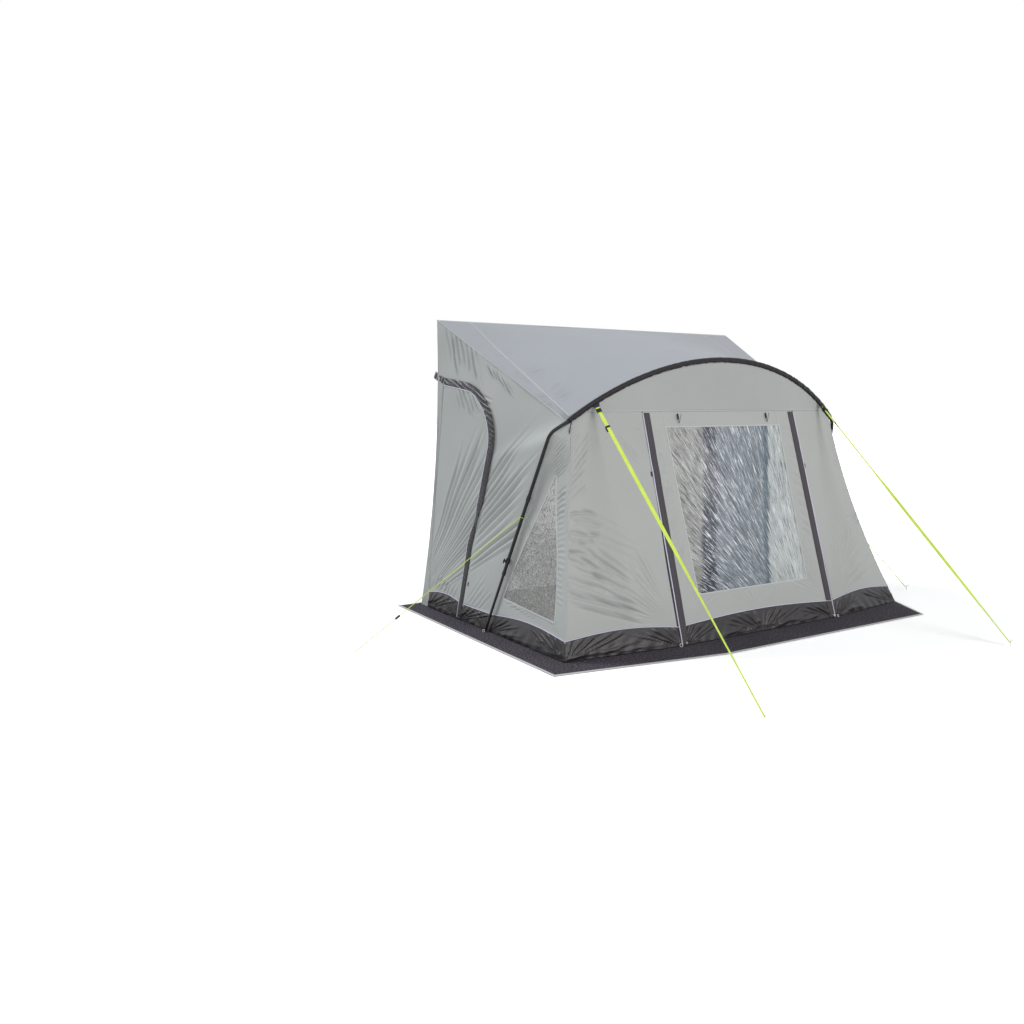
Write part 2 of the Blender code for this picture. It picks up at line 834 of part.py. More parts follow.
def front_slider(side, name, looks, parts):
    """Beside the zip, on the corner panel, so that it clears the zip's cover all the way up."""
    upwards = zip_line(side, 1) - zip_line(side, 0)
    seam = zip_line(side, 0) + upwards * (front_slider_height - ground_top) / upwards.z
    beside = at_height(corner_point, side, 1 - near_share, top_seam_height / 2)
    run = (beside - at_height(corner_point, side, 1, top_seam_height / 2)).normalized()
    normal = run.cross(upwards).normalized()
    if normal.y > 0:
        normal = -normal
    slider(name, seam + run * front_slider_offset, upwards, normal, looks, parts)


def side_slider(side, name, looks, parts):
    depth = door_zip_share + side_slider_offset / hoop_foot_reach
    middle = at_height(side_point, side, depth, side_slider_height)
    share = (middle - side_point(side, depth, 0)).length / (side_point(side, depth, 1)
                                                            - side_point(side, depth, 0)).length
    upwards = middle - side_point(side, depth, 0)
    slider(name, middle, upwards, side_normal(side, depth, share), looks, parts)


def toggle(side, name, looks, parts):
    outward = front_outward()
    share = 1 - toggle_drop / top_seam_height
    across = 0.5 + side * toggle_half / (2 * zip_top_half)
    top = front_point(-1, across, share) + outward * (cloth + fold_clearance + toggle_radius)
    down = (front_point(-1, across, 0) - front_point(-1, across, 1)).normalized()
    profile = [(0, toggle_length), (toggle_radius / 2, toggle_length), (toggle_radius, toggle_length - toggle_radius),
               (toggle_radius, toggle_radius), (toggle_radius / 2, 0), (0, 0)]
    turned(name, profile, top, down, looks["fitting"], parts, steps=8)


# Frame

def leg_foot(side):
    return hoop_point(side * hoop_foot_half, 0)


def leg_axis(side):
    return (elbow_point(side) - leg_foot(side)).normalized()


def leg_point(side, height):
    foot, elbow = leg_foot(side), elbow_point(side)
    return foot.lerp(elbow, height / elbow.z)


def arch_pole(looks, parts):
    ends = spaced(-1, 1, 24)
    limit = math.asin(arch_end_half / arch_radius)
    path = [arch_point(arch_radius * math.sin(limit * share)) for share in ends]
    wire("arch_pole", path, pole_radius, looks["pole"], parts, bevel_resolution=4)
    wire_wall("pole_sleeve", path, pole_radius + clearance, sleeve_radius, looks["sleeve"], parts)


def corner_pole(side, name, looks, parts):
    elbow = elbow_point(side)
    start = leg_point(side, pole_joint_height) + leg_axis(side) * clearance
    end = arch_point(side * arch_end_half)
    inward = (end - elbow).normalized()
    kink = inward.angle(arch_point(side * corner_top_half) - end)
    end -= inward * (2 * clearance + corner_pole_radius * math.sin(kink))
    low = elbow - leg_axis(side) * elbow_bend
    high = elbow + inward * elbow_bend
    path = [start]
    for share in spaced(0, 1, bend_steps):
        path.append(low.lerp(elbow, share).lerp(elbow.lerp(high, share), share))
    path.append(end)
    wire(name, path, corner_pole_radius, looks["pole"], parts, bevel_resolution=4)


def leg_pieces(side, word, looks, parts, cutters):
    """The upper leg has the guy's band on it and a bush on its end, round the lower leg."""
    axis = leg_axis(side)
    leg_end = leg_point(side, leg_end_height)
    joint = leg_point(side, pole_joint_height)
    length = (joint - leg_end).length
    band = (leg_point(side, guy_band_height) - leg_end).length
    profile = [(corner_pole_radius, length), (corner_pole_radius, band + guy_band_length / 2),
               (guy_band_radius, band + guy_band_length / 2), (guy_band_radius, band - guy_band_length / 2),
               (corner_pole_radius, band - guy_band_length / 2), (corner_pole_radius, bush_length),
               (bush_radius, bush_length), (bush_radius, 0), (upper_leg_bore_radius, 0),
               (upper_leg_bore_radius, length)]
    turned(f"upper_leg_{word}", profile, leg_end, axis, looks["pole"], parts)
    ring(f"pole_collar_{word}", joint - axis * joint_collar_length / 2, axis, corner_pole_radius + clearance,
         joint_collar_radius, joint_collar_length, looks["fitting"], parts)
    stand = leg_foot(side) + axis * (ground_top + foot_radius * (1 - axis.z)) / axis.z
    profile = [(0, lower_leg_length), (lower_leg_radius, lower_leg_length), (lower_leg_radius, foot_height),
               (foot_radius, foot_height - foot_lip_share * foot_radius), (foot_radius, foot_radius)]
    for turn in spaced(0, math.pi / 2, 3)[1:]:
        profile.append((foot_radius * math.cos(turn), foot_radius * (1 - math.sin(turn))))
    profile[-1] = (0, 0)
    turned(f"lower_leg_{word}", profile, stand, axis, looks["lower_pole"], parts)
    clamp_and_knob(side, word, axis, looks, parts, cutters)


def clamp_and_knob(side, word, axis, looks, parts, cutters):
    middle = leg_point(side, clamp_height)
    away = Vector((side, 0, 0))
    away = (away - axis * away.dot(axis)).normalized()
    clamp = finish_mesh(f"leg_clamp_{word}", rod_mesh(frame_along(middle - axis * clamp_length / 2, axis),
                                                      clamp_radius, clamp_length), looks["fitting"], parts)
    boss = cutter(f"clamp_boss_{word}", rod_mesh(frame_along(middle, away, axis), clamp_boss_radius,
                                                 clamp_boss_reach), cutters)
    bore = cutter(f"clamp_bore_{word}", rod_mesh(frame_along(middle - axis * clamp_length, axis),
                                                 corner_pole_radius + clearance, 2 * clamp_length), cutters)
    combine(clamp, boss, "UNION")
    combine(clamp, bore, "DIFFERENCE")
    hub_start = middle + away * (clamp_boss_reach + clearance)
    knob = finish_mesh(f"clamp_knob_{word}", rod_mesh(frame_along(hub_start, away, axis), knob_hub_radius,
                                                      knob_hub_length), looks["fitting"], parts)
    wing_frame = frame_along(hub_start + away * knob_hub_length / 2, away, axis)
    wings = cutter(f"knob_wings_{word}", block_mesh(wing_frame, (knob_wing_span, knob_wing_thickness,
                                                                knob_hub_length * knob_wing_height_share)), cutters)
    combine(knob, wings, "UNION")


# Straps, guys and what is on them

def peg(name, ground, towards, looks, parts):
    """The top of a steel ground peg, its hook turned away from the load that it holds."""
    away = Vector((-towards.x, -towards.y, 0)).normalized()
    foot = ground + away * peg_radius
    path = [foot, foot + Vector((0, 0, peg_height - peg_hook / 2))]
    for turn in spaced(0, math.pi, 4)[1:]:
        path.append(foot + Vector((0, 0, peg_height - peg_hook / 2 + peg_hook / 2 * math.sin(turn)))
                    + away * peg_hook / 2 * (1 - math.cos(turn)))
    wire(name, path, peg_radius, looks["steel"], parts)


def strap_ends(index):
    """Where a storm strap leaves the arch and where it meets its peg."""
    across, reach = strap_peg_places[index]
    start = arch_point(math.copysign(strap_arch_half, across))
    end = place(across, reach, peg_height / 2)
    return start, end


def storm_strap(index, word, looks, parts, cutters):
    start, end = strap_ends(index)
    run = (end - start).normalized()
    sleeve_line = (arch_point(start.x + strap_width) - arch_point(start.x - strap_width)).normalized()
    across = (sleeve_line - run * sleeve_line.dot(run)).normalized()
    tab_start = start + run * (sleeve_radius + fold_clearance) / sleeve_line.cross(run).length
    tab_end = tab_start + run * tab_length
    bm = block_mesh(Matrix(), (1, 1, 1))
    for vert in bm.verts:
        near = vert.co.z < 0
        edge = sleeve_line * tab_top_width if near else across * tab_foot_width
        flat = run.cross(across) * tab_thickness
        vert.co = (tab_start if near else tab_end) + edge * vert.co.x + flat * vert.co.y
    finish_mesh(f"strap_tab_{word}", bm, looks["tab"], parts)
    strap_start = tab_end + run * clearance
    strap_length = (end - strap_start).length - strap_thickness - clearance
    middle = frame_along(strap_start + run * strap_length / 2, run, across)
    finish_mesh(f"storm_strap_{word}", block_mesh(middle, (strap_width, strap_thickness, strap_length)),
                looks["neon"], parts)
    seat = frame_along(start + run * buckle_distance, run, across)
    hole = (strap_width + 2 * buckle_slack, strap_thickness + 2 * buckle_slack)
    buckle = finish_mesh(f"strap_buckle_{word}",
                         block_mesh(seat, (hole[0] + 2 * buckle_wall, hole[1] + 2 * buckle_wall, buckle_length)),
                         looks["fitting"], parts)
    slot = cutter(f"buckle_slot_{word}", block_mesh(seat, (*hole, 2 * buckle_length)), cutters)
    combine(buckle, slot, "DIFFERENCE")
    peg(f"strap_peg_{word}", end - Vector((0, 0, end.z)), -run, looks, parts)


def guy_ends(index):
    across, reach = guy_peg_places[index]
    side = math.copysign(1, across)
    end = place(across, reach, peg_height / 2)
    band = leg_point(side, guy_band_height)
    away = (end - band) - leg_axis(side) * (end - band).dot(leg_axis(side))
    tilt = away.angle(end - band)
    start = band + away.normalized() * (guy_band_radius + guy_radius * math.sin(tilt) + clearance)
    return start, end


def guy_line(index, word, looks, parts, cutters):
    start, end = guy_ends(index)
    run = (end - start).normalized()
    line_end = end - run * (guy_radius + clearance)
    wire(f"guy_line_{word}", [start.lerp(line_end, share) for share in spaced(0, 1, 8)], guy_radius,
         looks["neon"], parts)
    middle = start + run * runner_distances[index]
    seat = frame_along(middle, run)
    runner = finish_mesh(f"guy_runner_{word}", block_mesh(seat, (runner_width, runner_thickness, runner_length)),
                         looks["fitting"], parts)
    bore = cutter(f"runner_bore_{word}", rod_mesh(frame_along(middle - run * runner_length, run),
                                                  guy_radius + runner_slack, 2 * runner_length), cutters)
    combine(runner, bore, "DIFFERENCE")
    peg(f"guy_peg_{word}", end - Vector((0, 0, end.z)), -run, looks, parts)


# On the ground and at the rail

def carpet(looks, parts):
    corners = [(-carpet_half, -carpet_tuck), (-carpet_left_front[0], carpet_left_front[1]),
               (-carpet_left_bend, carpet_reach), (carpet_right_front, carpet_reach),
               (carpet_half, carpet_right_bend_reach), (carpet_half, -carpet_tuck)]
    curve = bpy.data.curves.new("carpet", "CURVE")
    curve.dimensions = "2D"
    curve.fill_mode = "BOTH"
    curve.extrude = carpet_thickness / 2
    spline = curve.splines.new("POLY")
    spline.points.add(len(corners) - 1)
    for target, (across, reach) in zip(spline.points, corners):
        target.co = (across, rear_y - reach, 0, 1)
    spline.use_cyclic_u = True
    item = new_object("carpet", curve, looks["carpet"], parts)
    item.location.z = carpet_thickness / 2


def rail_bead(looks, parts):
    centre = place(0, -(bead_radius + clearance), rail_height)
    ends = [centre + Vector((side * rail_half, 0, 0)) for side in (-1, 1)]
    wire("rail_bead", ends, bead_radius, looks["bead"], parts)


def make_looks():
    return {
        "roof": new_material("roof cloth", (0.36, 0.38, 0.40), 0.75),
        "front": new_material("front cloth", (0.40, 0.41, 0.40), 0.75),
        "side": new_material("side cloth", (0.28, 0.31, 0.31), 0.75),
        "clear": new_material("clear window", (0.75, 0.78, 0.80), 0.08, alpha=0.35),
        "mud": new_material("mud wall cloth", (0.030, 0.026, 0.030), 0.45),
        "cover": new_material("zip cover cloth", (0.035, 0.035, 0.040), 0.70),
        "sleeve": new_material("sleeve cloth", (0.020, 0.020, 0.022), 0.55),
        "tab": new_material("tab cloth", (0.050, 0.048, 0.060), 0.70),
        "pole": new_material("coated steel", (0.015, 0.015, 0.016), 0.35, metallic=0.2),
        "lower_pole": new_material("coated steel, lower leg", (0.030, 0.030, 0.032), 0.35, metallic=0.2),
        "fitting": new_material("black plastic", (0.018, 0.018, 0.018), 0.40),
        "neon": new_material("signal yellow webbing", (0.62, 0.85, 0.08), 0.60),
        "steel": new_material("peg steel", (0.60, 0.60, 0.60), 0.30, metallic=1.0),
        "carpet": new_material("charcoal carpet", (0.050, 0.048, 0.055), 0.95),
        "bead": new_material("bead cord", (0.55, 0.56, 0.57), 0.60),
    }


def main():
    clear_scene()
    parts = new_collection("caravan_awning")
    cutters = new_collection("cutters")
    looks = make_looks()
    roof_panel(looks, parts)
    front_valance(looks, parts)
    front_panel(looks, parts)
    front_window(looks, parts)
    front_mud_flap(looks, parts)
    arch_pole(looks, parts)
    rail_bead(looks, parts)
    carpet(looks, parts)
    for index, (side, word) in enumerate(((-1, "left"), (1, "right"))):
        side_wall(side, f"side_wall_{word}", looks, parts)
        side_door(side, f"side_door_{word}", looks, parts)
        side_gusset(side, f"side_gusset_{word}", looks, parts)
        side_window(side, f"side_window_{word}", looks, parts)
        front_corner(side, f"front_corner_{word}", looks, parts)
        mud_wall(side, f"mud_wall_{word}", looks, parts)
        door_mud_flap(side, f"door_mud_flap_{word}", looks, parts)
        front_zip_cover(side, f"front_zip_cover_{word}", looks, parts)
        side_zip_cover(side, f"side_zip_cover_{word}", looks, parts)
        front_slider(side, f"front_zip_slider_{word}", looks, parts)
        side_slider(side, f"side_zip_slider_{word}", looks, parts)
        toggle(side, f"toggle_{word}", looks, parts)
        corner_pole(side, f"corner_pole_{word}", looks, parts)
        leg_pieces(side, word, looks, parts, cutters)
        storm_strap(index, word, looks, parts, cutters)
        guy_line(index, word, looks, parts, cutters)


main()
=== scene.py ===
import math

import bmesh
import bpy
import numpy as np
from mathutils import Matrix, Vector


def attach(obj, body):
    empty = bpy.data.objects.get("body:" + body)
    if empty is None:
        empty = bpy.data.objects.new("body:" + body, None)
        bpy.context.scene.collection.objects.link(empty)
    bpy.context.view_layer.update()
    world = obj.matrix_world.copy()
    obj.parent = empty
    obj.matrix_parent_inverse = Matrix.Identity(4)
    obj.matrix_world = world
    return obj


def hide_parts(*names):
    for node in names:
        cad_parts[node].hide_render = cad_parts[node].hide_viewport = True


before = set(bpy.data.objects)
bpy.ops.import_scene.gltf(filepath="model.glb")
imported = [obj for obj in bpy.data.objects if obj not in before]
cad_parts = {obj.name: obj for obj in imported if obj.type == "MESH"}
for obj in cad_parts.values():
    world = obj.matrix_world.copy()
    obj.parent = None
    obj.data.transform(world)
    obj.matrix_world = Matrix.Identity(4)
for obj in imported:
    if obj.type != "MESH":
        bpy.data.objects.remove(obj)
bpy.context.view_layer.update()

# Shell: where its seams run, the same values that the solids are made from
rail_half = 1.625
rail_height = 2.379
rear_foot_half = 1.805
rear_hollow = 0.115
roof_seam_half = 1.318
hoop_foot_half = 1.784
hoop_foot_reach = 1.058
hoop_lean = 0.307
left_elbow_half = 1.509
left_elbow_height = 1.490
right_elbow_half = 1.425
right_elbow_height = 1.531
arch_end_half = 1.368
arch_end_height = 1.573
arch_rise = 0.449
corner_top_half = 1.345
left_corner_foot_half = 1.726
right_corner_foot_half = 1.710
corner_foot_reach = 2.023
left_corner_bulge = 0.030
right_corner_bulge = -0.084
top_seam_height = 1.636
top_seam_reach = 1.635
zip_top_half = 0.779
zip_foot_half = 0.792
zip_foot_reach = 2.131
leg_stand_off = 0.028
shell_drop = 0.023
shell_set_back = 0.021
mud_height = 0.135
mud_scallop = 0.034
mud_leg_share = 0.19
mud_corner_share = 0.56
zip_gap = 0.004
hinge_gap = 0.002
rear_y = 1.18
ground_top = 0.0063
arch_apex_height = arch_end_height + arch_rise
arch_radius = (arch_end_half ** 2 + arch_rise ** 2) / (2 * arch_rise)
sleeve_seat = 0.0195

# Windows and side doors
window_top_half = 0.593
window_foot_half = 0.571
window_top_height = 1.520
window_foot_height = 0.325
window_lap = 0.005
side_window_foot = ((0.07, 0.166), (0.86, 0.142))
side_window_tip = ((0.50, 0.745), (0.56, 0.745))
side_window_bow = 0.10
side_window_lap = 0.006
door_hinge_share = 0.105
door_zip_share = 0.595
door_shoulder_share = 0.690
door_round_share = 0.235
door_top_rear_share = 0.815
door_top_front_share = 0.862
door_flat_part = 0.46

# Cloth
cloth_middle = 0.0015
cloth_thickness = 0.0011
film_thickness = 0.0005
film_set_in = 0.0011
steepest_fold = 0.014
thread_turns = 1400.0
ruffle_spacing = 0.035
sleeve_girth = 0.125
sleeve_length = 3.2
tape_profile = ((-0.011, -0.0006), (0, -0.0008), (0.011, -0.0006))
seam_profile = ((-0.0050, 0.0006), (-0.0040, 0.0013), (0, 0.0016), (0.0040, 0.0013), (0.0050, 0.0006))

# Straps, guys and small fittings
guy_band_height = 0.885
guy_band_radius = 0.0150
peg_height = 0.045
strap_arch_half = 1.174
strap_width = 0.025
sleeve_radius = 0.018
tab_length = 0.040
buckle_distance = 0.085
seat_gap = 0.0003
guy_radius = 0.0020
guy_line_half = 0.0029
strap_peg_places = ((-1.407, 3.453), (1.180, 3.306))
guy_peg_places = ((-2.842, 1.136), (2.224, 1.772))
full_turn = 2 * math.pi
sides = ((-1, "left"), (1, "right"))


# Nodes: a finish is worked out with sums of wires

class Wire:
    """What a node gives, a number or a colour. Sums of wires add the nodes that work them out."""

    def __init__(self, tree, socket):
        self.tree, self.socket = tree, socket

    def do(self, operation, *others, clamp=False):
        node = self.tree.nodes.new("ShaderNodeMath")
        node.operation, node.use_clamp = operation, clamp
        for target, value in zip(node.inputs, (self, *others)):
            feed(self.tree, target, value)
        return Wire(self.tree, node.outputs[0])

    def __add__(self, other):
        return self.do("ADD", other)

    def __sub__(self, other):
        return self.do("SUBTRACT", other)

    def __mul__(self, other):
        return self.do("MULTIPLY", other)

    def spread(self, low, high, to_low=0.0, to_high=1.0):
        return made(self.tree, "MapRange", "Result", Value=self, From_Min=low, From_Max=high, To_Min=to_low,
                    To_Max=to_high)


def feed(tree, target, value):
    if isinstance(value, Wire):
        tree.links.new(value.socket, target)
    else:
        target.default_value = value


def give(tree, node, **inputs):
    """Feeds a node's inputs by name, with a line for each space."""
    for label, value in inputs.items():
        feed(tree, node.inputs[label.replace("_", " ")], value)


def made(tree, kind, output, settings=None, **inputs):
    """A new node with its inputs fed, as the wire that leaves it."""
    node = tree.nodes.new("ShaderNode" + kind)
    for name, value in (settings or {}).items():
        setattr(node, name, value)
    give(tree, node, **inputs)
    return Wire(tree, node.outputs[output])


def coordinates(tree, kind, axes):
    """A place on the piece, and its single coordinates."""
    where = made(tree, "TexCoord", kind)
    return where, *(made(tree, "SeparateXYZ", axis, Vector=where) for axis in axes)


def noise(where, scale, detail=2.0, roughness=0.5, stretch=None):
    if stretch:
        where = made(where.tree, "Mapping", "Vector", Vector=where, Scale=stretch)
    return made(where.tree, "TexNoise", "Fac", Vector=where, Scale=scale, Detail=detail, Roughness=roughness)


def mixed(a, b, share):
    return made(share.tree, "Mix", "Result", {"data_type": "RGBA"}, Factor=share, A=a, B=b)


def scaled(colour, factor):
    return made(factor.tree, "VectorMath", "Vector", {"operation": "SCALE"}, Vector=colour, Scale=factor)


def relief(height, strength):
    return made(height.tree, "Bump", "Normal", Height=height, Strength=strength, Distance=1.0)


# Camera, light and floor

def new_object(name, data):
    item = bpy.data.objects.new(name, data)
    bpy.context.scene.collection.objects.link(item)
    return item


def make_camera():
    """The place and lens that the photograph was taken from."""
    view = bpy.data.cameras.new("photo_view")
    view.sensor_width, view.lens = 36, 30.593
    view.clip_start, view.clip_end = 0.05, 200
    camera = new_object("photo_view", view)
    forward = Vector((0.51189, 0.85019, -0.12308)).normalized()
    right = forward.cross(Vector((0.06507, 0.10449, 0.99239))).normalized()
    up = right.cross(forward)
    turn = Matrix((right, up, -forward)).transposed().to_4x4()
    turn.translation = Vector((-4.8783, -5.4164, 1.6912))
    camera.matrix_world = turn
    bpy.context.scene.camera = camera


def seen_directly(tree):
    """One where the camera, a reflection or a clear film looks straight at it, and zero for light that falls on
    things."""
    path = tree.nodes.new("ShaderNodeLightPath")
    seen, mirrored, through = (Wire(tree, path.outputs[f"Is {kind} Ray"])
                               for kind in ("Camera", "Glossy", "Transmission"))
    return seen.do("MAXIMUM", mirrored).do("MAXIMUM", through)


def make_light():
    """A pale sky that looks white, a broad low sun in front and a sharper one behind the left corner."""
    world = bpy.data.worlds.new("open_sky")
    bpy.context.scene.world = world
    world.use_nodes = True
    tree = world.node_tree
    tree.nodes.clear()
    sky = made(tree, "Background", 0, Color=(0.94, 0.97, 1.0, 1), Strength=0.42)
    white = made(tree, "Background", 0, Color=(1, 1, 1, 1), Strength=1.0)
    mix = tree.nodes.new("ShaderNodeMixShader")
    for target, wire in zip(mix.inputs, (seen_directly(tree), sky, white)):
        feed(tree, target, wire)
    give(tree, tree.nodes.new("ShaderNodeOutputWorld"), Surface=Wire(tree, mix.outputs[0]))
    for name, energy, angle, colour, towards in (
            ("front_sun", 1.60, 40, (1.0, 0.985, 0.965), (0.12, -0.84, 0.53)),
            ("rear_left_sun", 1.95, 14, (0.97, 0.985, 1.0), (-0.42, 0.60, 0.68))):
        lamp = bpy.data.lights.new(name, "SUN")
        lamp.energy, lamp.angle, lamp.color = energy, math.radians(angle), colour
        sun = new_object(name, lamp)
        sun.rotation_mode = "QUATERNION"
        sun.rotation_quaternion = Vector(towards).to_track_quat("Z", "Y")


def make_floor():
    bm = bmesh.new()
    bmesh.ops.create_grid(bm, x_segments=1, y_segments=1, size=60)
    floor = new_object("floor", mesh_from("floor", bm))
    material, tree, shader = new_look("pale_floor", 0.9)
    tree.nodes.remove(shader)
    colour = mixed((0.62, 0.63, 0.62, 1), (1.5, 1.5, 1.5, 1), seen_directly(tree))
    give(tree, tree.nodes["Material Output"], Surface=made(tree, "BsdfDiffuse", 0, Color=colour))
    floor.data.materials.append(material)
    floor.location.z = -0.0005


# Places on the shell

def place(across, reach, height):
    return Vector((across, rear_y - reach, height))


def spaced(first, last, steps):
    return [first + (last - first) * index / steps for index in range(steps + 1)]


def sided(side, left, right):
    return left if side < 0 else right


def along(points, share):
    """The point at a share of the way along a chain of points."""
    lengths = [(b - a).length for a, b in zip(points, points[1:])]
    wanted = share * sum(lengths)
    for (a, b), length in zip(zip(points, points[1:]), lengths):
        if wanted <= length:
            return a.lerp(b, wanted / length)
        wanted -= length
    return points[-1].copy()


def hoop_reach(height):
    return hoop_foot_reach + hoop_lean * height


def hoop_point(across, height):
    return place(across, hoop_reach(height), height)


def arch_height(across):
    return arch_apex_height - arch_radius + math.sqrt(arch_radius ** 2 - across ** 2)


def arch_point(across):
    return hoop_point(across, arch_height(across))


def below_arch(across):
    steepness = math.sqrt(arch_radius ** 2 - across ** 2) / arch_radius
    return arch_point(across) - Vector((0, 0, sleeve_seat / steepness))


def shoulder_half(height):
    """How far out the cloth under the arch reaches at a height."""
    under = height + sleeve_seat * arch_radius / math.sqrt(arch_radius ** 2 - corner_top_half ** 2)
    return math.sqrt(arch_radius ** 2 - (under - arch_apex_height + arch_radius) ** 2)


def seam_reach(across, height, end_half):
    """The level seam runs straight between the front zips, and back to the arch outside them."""
    outer = max(0, abs(across) - zip_top_half) / (end_half - zip_top_half)
    return top_seam_reach + (hoop_reach(height) - top_seam_reach) * outer


def rear_line(side, share):
    foot = place(side * rear_foot_half, 0, ground_top)
    return foot.lerp(place(side * rail_half, 0, rail_height), share)


def rear_edge(side, share):
    return rear_line(side, share) - Vector((0, rear_hollow * 4 * share * (1 - share), 0))


def shell_corner(side):
    end = arch_point(side * arch_end_half)
    return end + Vector((-side * shell_set_back, shell_set_back, -shell_drop))


def elbow_point(side):
    half = sided(side, left_elbow_half, right_elbow_half)
    return hoop_point(side * half, sided(side, left_elbow_height, right_elbow_height))


def leg_line(side, share):
    foot = place(side * (hoop_foot_half - leg_stand_off), hoop_foot_reach, ground_top)
    elbow = elbow_point(side) - Vector((side * leg_stand_off, 0, 0))
    return along([foot, elbow, shell_corner(side)], share)


def side_point(side, depth, share):
    return rear_line(side, share).lerp(leg_line(side, share), depth)


def share_at(point_of, side, across, height):
    low, high = 0.0, 1.0
    for _ in range(24):
        middle = (low + high) / 2
        if point_of(side, across, middle).z < height:
            low = middle
        else:
            high = middle
    return low


def at_height(point_of, side, across, height):
    return point_of(side, across, share_at(point_of, side, across, height))


def foot_share(point_of, side, height_at):
    """Where a wall meets its mud wall, worked out once for each place across."""
    found = {}

    def foot(spot):
        key = round(spot, 4)
        if key not in found:
            found[key] = share_at(point_of, side, spot, height_at(spot))
        return found[key]

    return foot


def corner_foot_half(side):
    return sided(side, left_corner_foot_half, right_corner_foot_half)


def corner_seam(side, share):
    foot = place(side * corner_foot_half(side), corner_foot_reach, ground_top)
    top = below_arch(side * corner_top_half)
    bulge = sided(side, left_corner_bulge, right_corner_bulge) * 4 * share * (1 - share)
    return foot.lerp(top, share) + Vector((side * bulge, -bulge, 0)) / 2


def gusset_point(side, across, share):
    return leg_line(side, share).lerp(corner_seam(side, share), across)


def zip_line(side, share):
    foot = place(side * zip_foot_half, zip_foot_reach, ground_top)
    return foot.lerp(place(side * zip_top_half, top_seam_reach, top_seam_height), share)


def corner_top(side, across):
    shoulder = place(side * shoulder_half(top_seam_height), hoop_reach(top_seam_height), top_seam_height)
    return along([below_arch(side * corner_top_half), shoulder, zip_line(side, 1)], across)


def corner_point(side, across, share):
    foot = corner_seam(side, 0).lerp(zip_line(side, 0), across)
    straight = foot.lerp(corner_top(side, across), share)
    seam_bulge = corner_seam(side, share) - corner_seam(side, 0).lerp(corner_seam(side, 1), share)
    return straight + seam_bulge * (1 - across) ** 2


def front_point(side, across, share):
    return zip_line(side, share).lerp(zip_line(-side, share), across)


def front_outward():
    return Vector((0, -top_seam_height, zip_foot_reach - top_seam_reach)).normalized()


def scallop(share):
    """Height of the seam between a wall and its mud wall, between two pegs."""
    return mud_height + mud_scallop * math.sin(math.pi * min(1, max(0, share)))


def door_outline(grow, columns):
    """Depths and shares of the door's upper edge, from the hinge over the round top to the zip."""
    hinge = door_hinge_share - grow / hoop_foot_reach
    zip_side = door_zip_share + grow / hoop_foot_reach
    rise = grow / rail_height
    round_start = door_zip_share - door_round_share
    pairs = []
    for share in spaced(0, 1, columns):
        if share < door_flat_part:
            inside = share / door_flat_part
            height = door_top_rear_share + (door_top_front_share - door_top_rear_share) * inside
            pairs.append((hinge + (round_start - hinge) * inside, height + rise))
        else:
            turn = (share - door_flat_part) / (1 - door_flat_part) * math.pi / 2
            height = door_shoulder_share + (door_top_front_share + rise - door_shoulder_share) * math.cos(turn)
            pairs.append((round_start + (zip_side - round_start) * math.sin(turn), height))
    return hinge, zip_side, pairs


# Creases: each one is a start, an end, a width at each end, a height and a lean, in metres on the cloth

def rising(value):
    clipped = np.clip(value, 0, 1)
    return clipped * clipped * (3 - 2 * clipped)


def one_crease(start, end, width, height, widen=1.0, bias=0.5):
    return (start[0], start[1], end[0], end[1], width, width * widen, height, bias)


def crease_about(middle, run, width, height, bias=0.5):
    """A crease from one side of its middle to the other."""
    return one_crease([middle[k] - run[k] for k in (0, 1)], [middle[k] + run[k] for k in (0, 1)], width, height,
                      bias=bias)


def fan(rng, start, first, last, count, width, height, jitter=0.3, near=0.04):
    """Creases from a point where cloth is gathered or pegged, spreading to the line between first and last."""
    creases = []
    for index in range(count):
        share = (index + 0.5 + rng.uniform(-jitter, jitter)) / count
        end = [first[k] + (last[k] - first[k]) * share for k in (0, 1)]
        run = [end[k] - start[k] for k in (0, 1)]
        far = rng.uniform(0.55, 1.0)
        close = near / max(math.hypot(*run), near * 1.5)
        begin, stop = ([start[k] + run[k] * part for k in (0, 1)] for part in (close, far))
        creases.append(one_crease(begin, stop, width * rng.uniform(0.6, 1.0), height * rng.uniform(0.5, 1.1),
                                  widen=2.4, bias=rng.uniform(0.2, 0.8)))
    return creases


def drawn(rng, low, high, slope, count, length, width, height, spread=0.12):
    """Scattered creases that all pull in about one direction, inside a box on the cloth."""
    creases = []
    for _ in range(count):
        middle = [rng.uniform(low[k], high[k]) for k in (0, 1)]
        turn = math.atan2(slope[1], slope[0]) + rng.normal(0, spread)
        half = length * rng.uniform(0.4, 1.0) / 2
        run = (math.cos(turn) * half, math.sin(turn) * half)
        creases.append(crease_about(middle, run, width * rng.uniform(0.6, 1.2), height * rng.uniform(0.3, 1.0),
                                    rng.uniform(-0.6, 0.9)))
    return creases


def hanging(rng, places, top, lengths, widths, heights, widen, lean=1.0):
    """Short creases that hang from a seam."""
    creases = []
    for across in places:
        high = top(across)
        creases.append(one_crease((across, high), (across * lean, high - rng.uniform(*lengths)),
                                  rng.uniform(*widths), rng.uniform(*heights), widen=widen))
    return creases


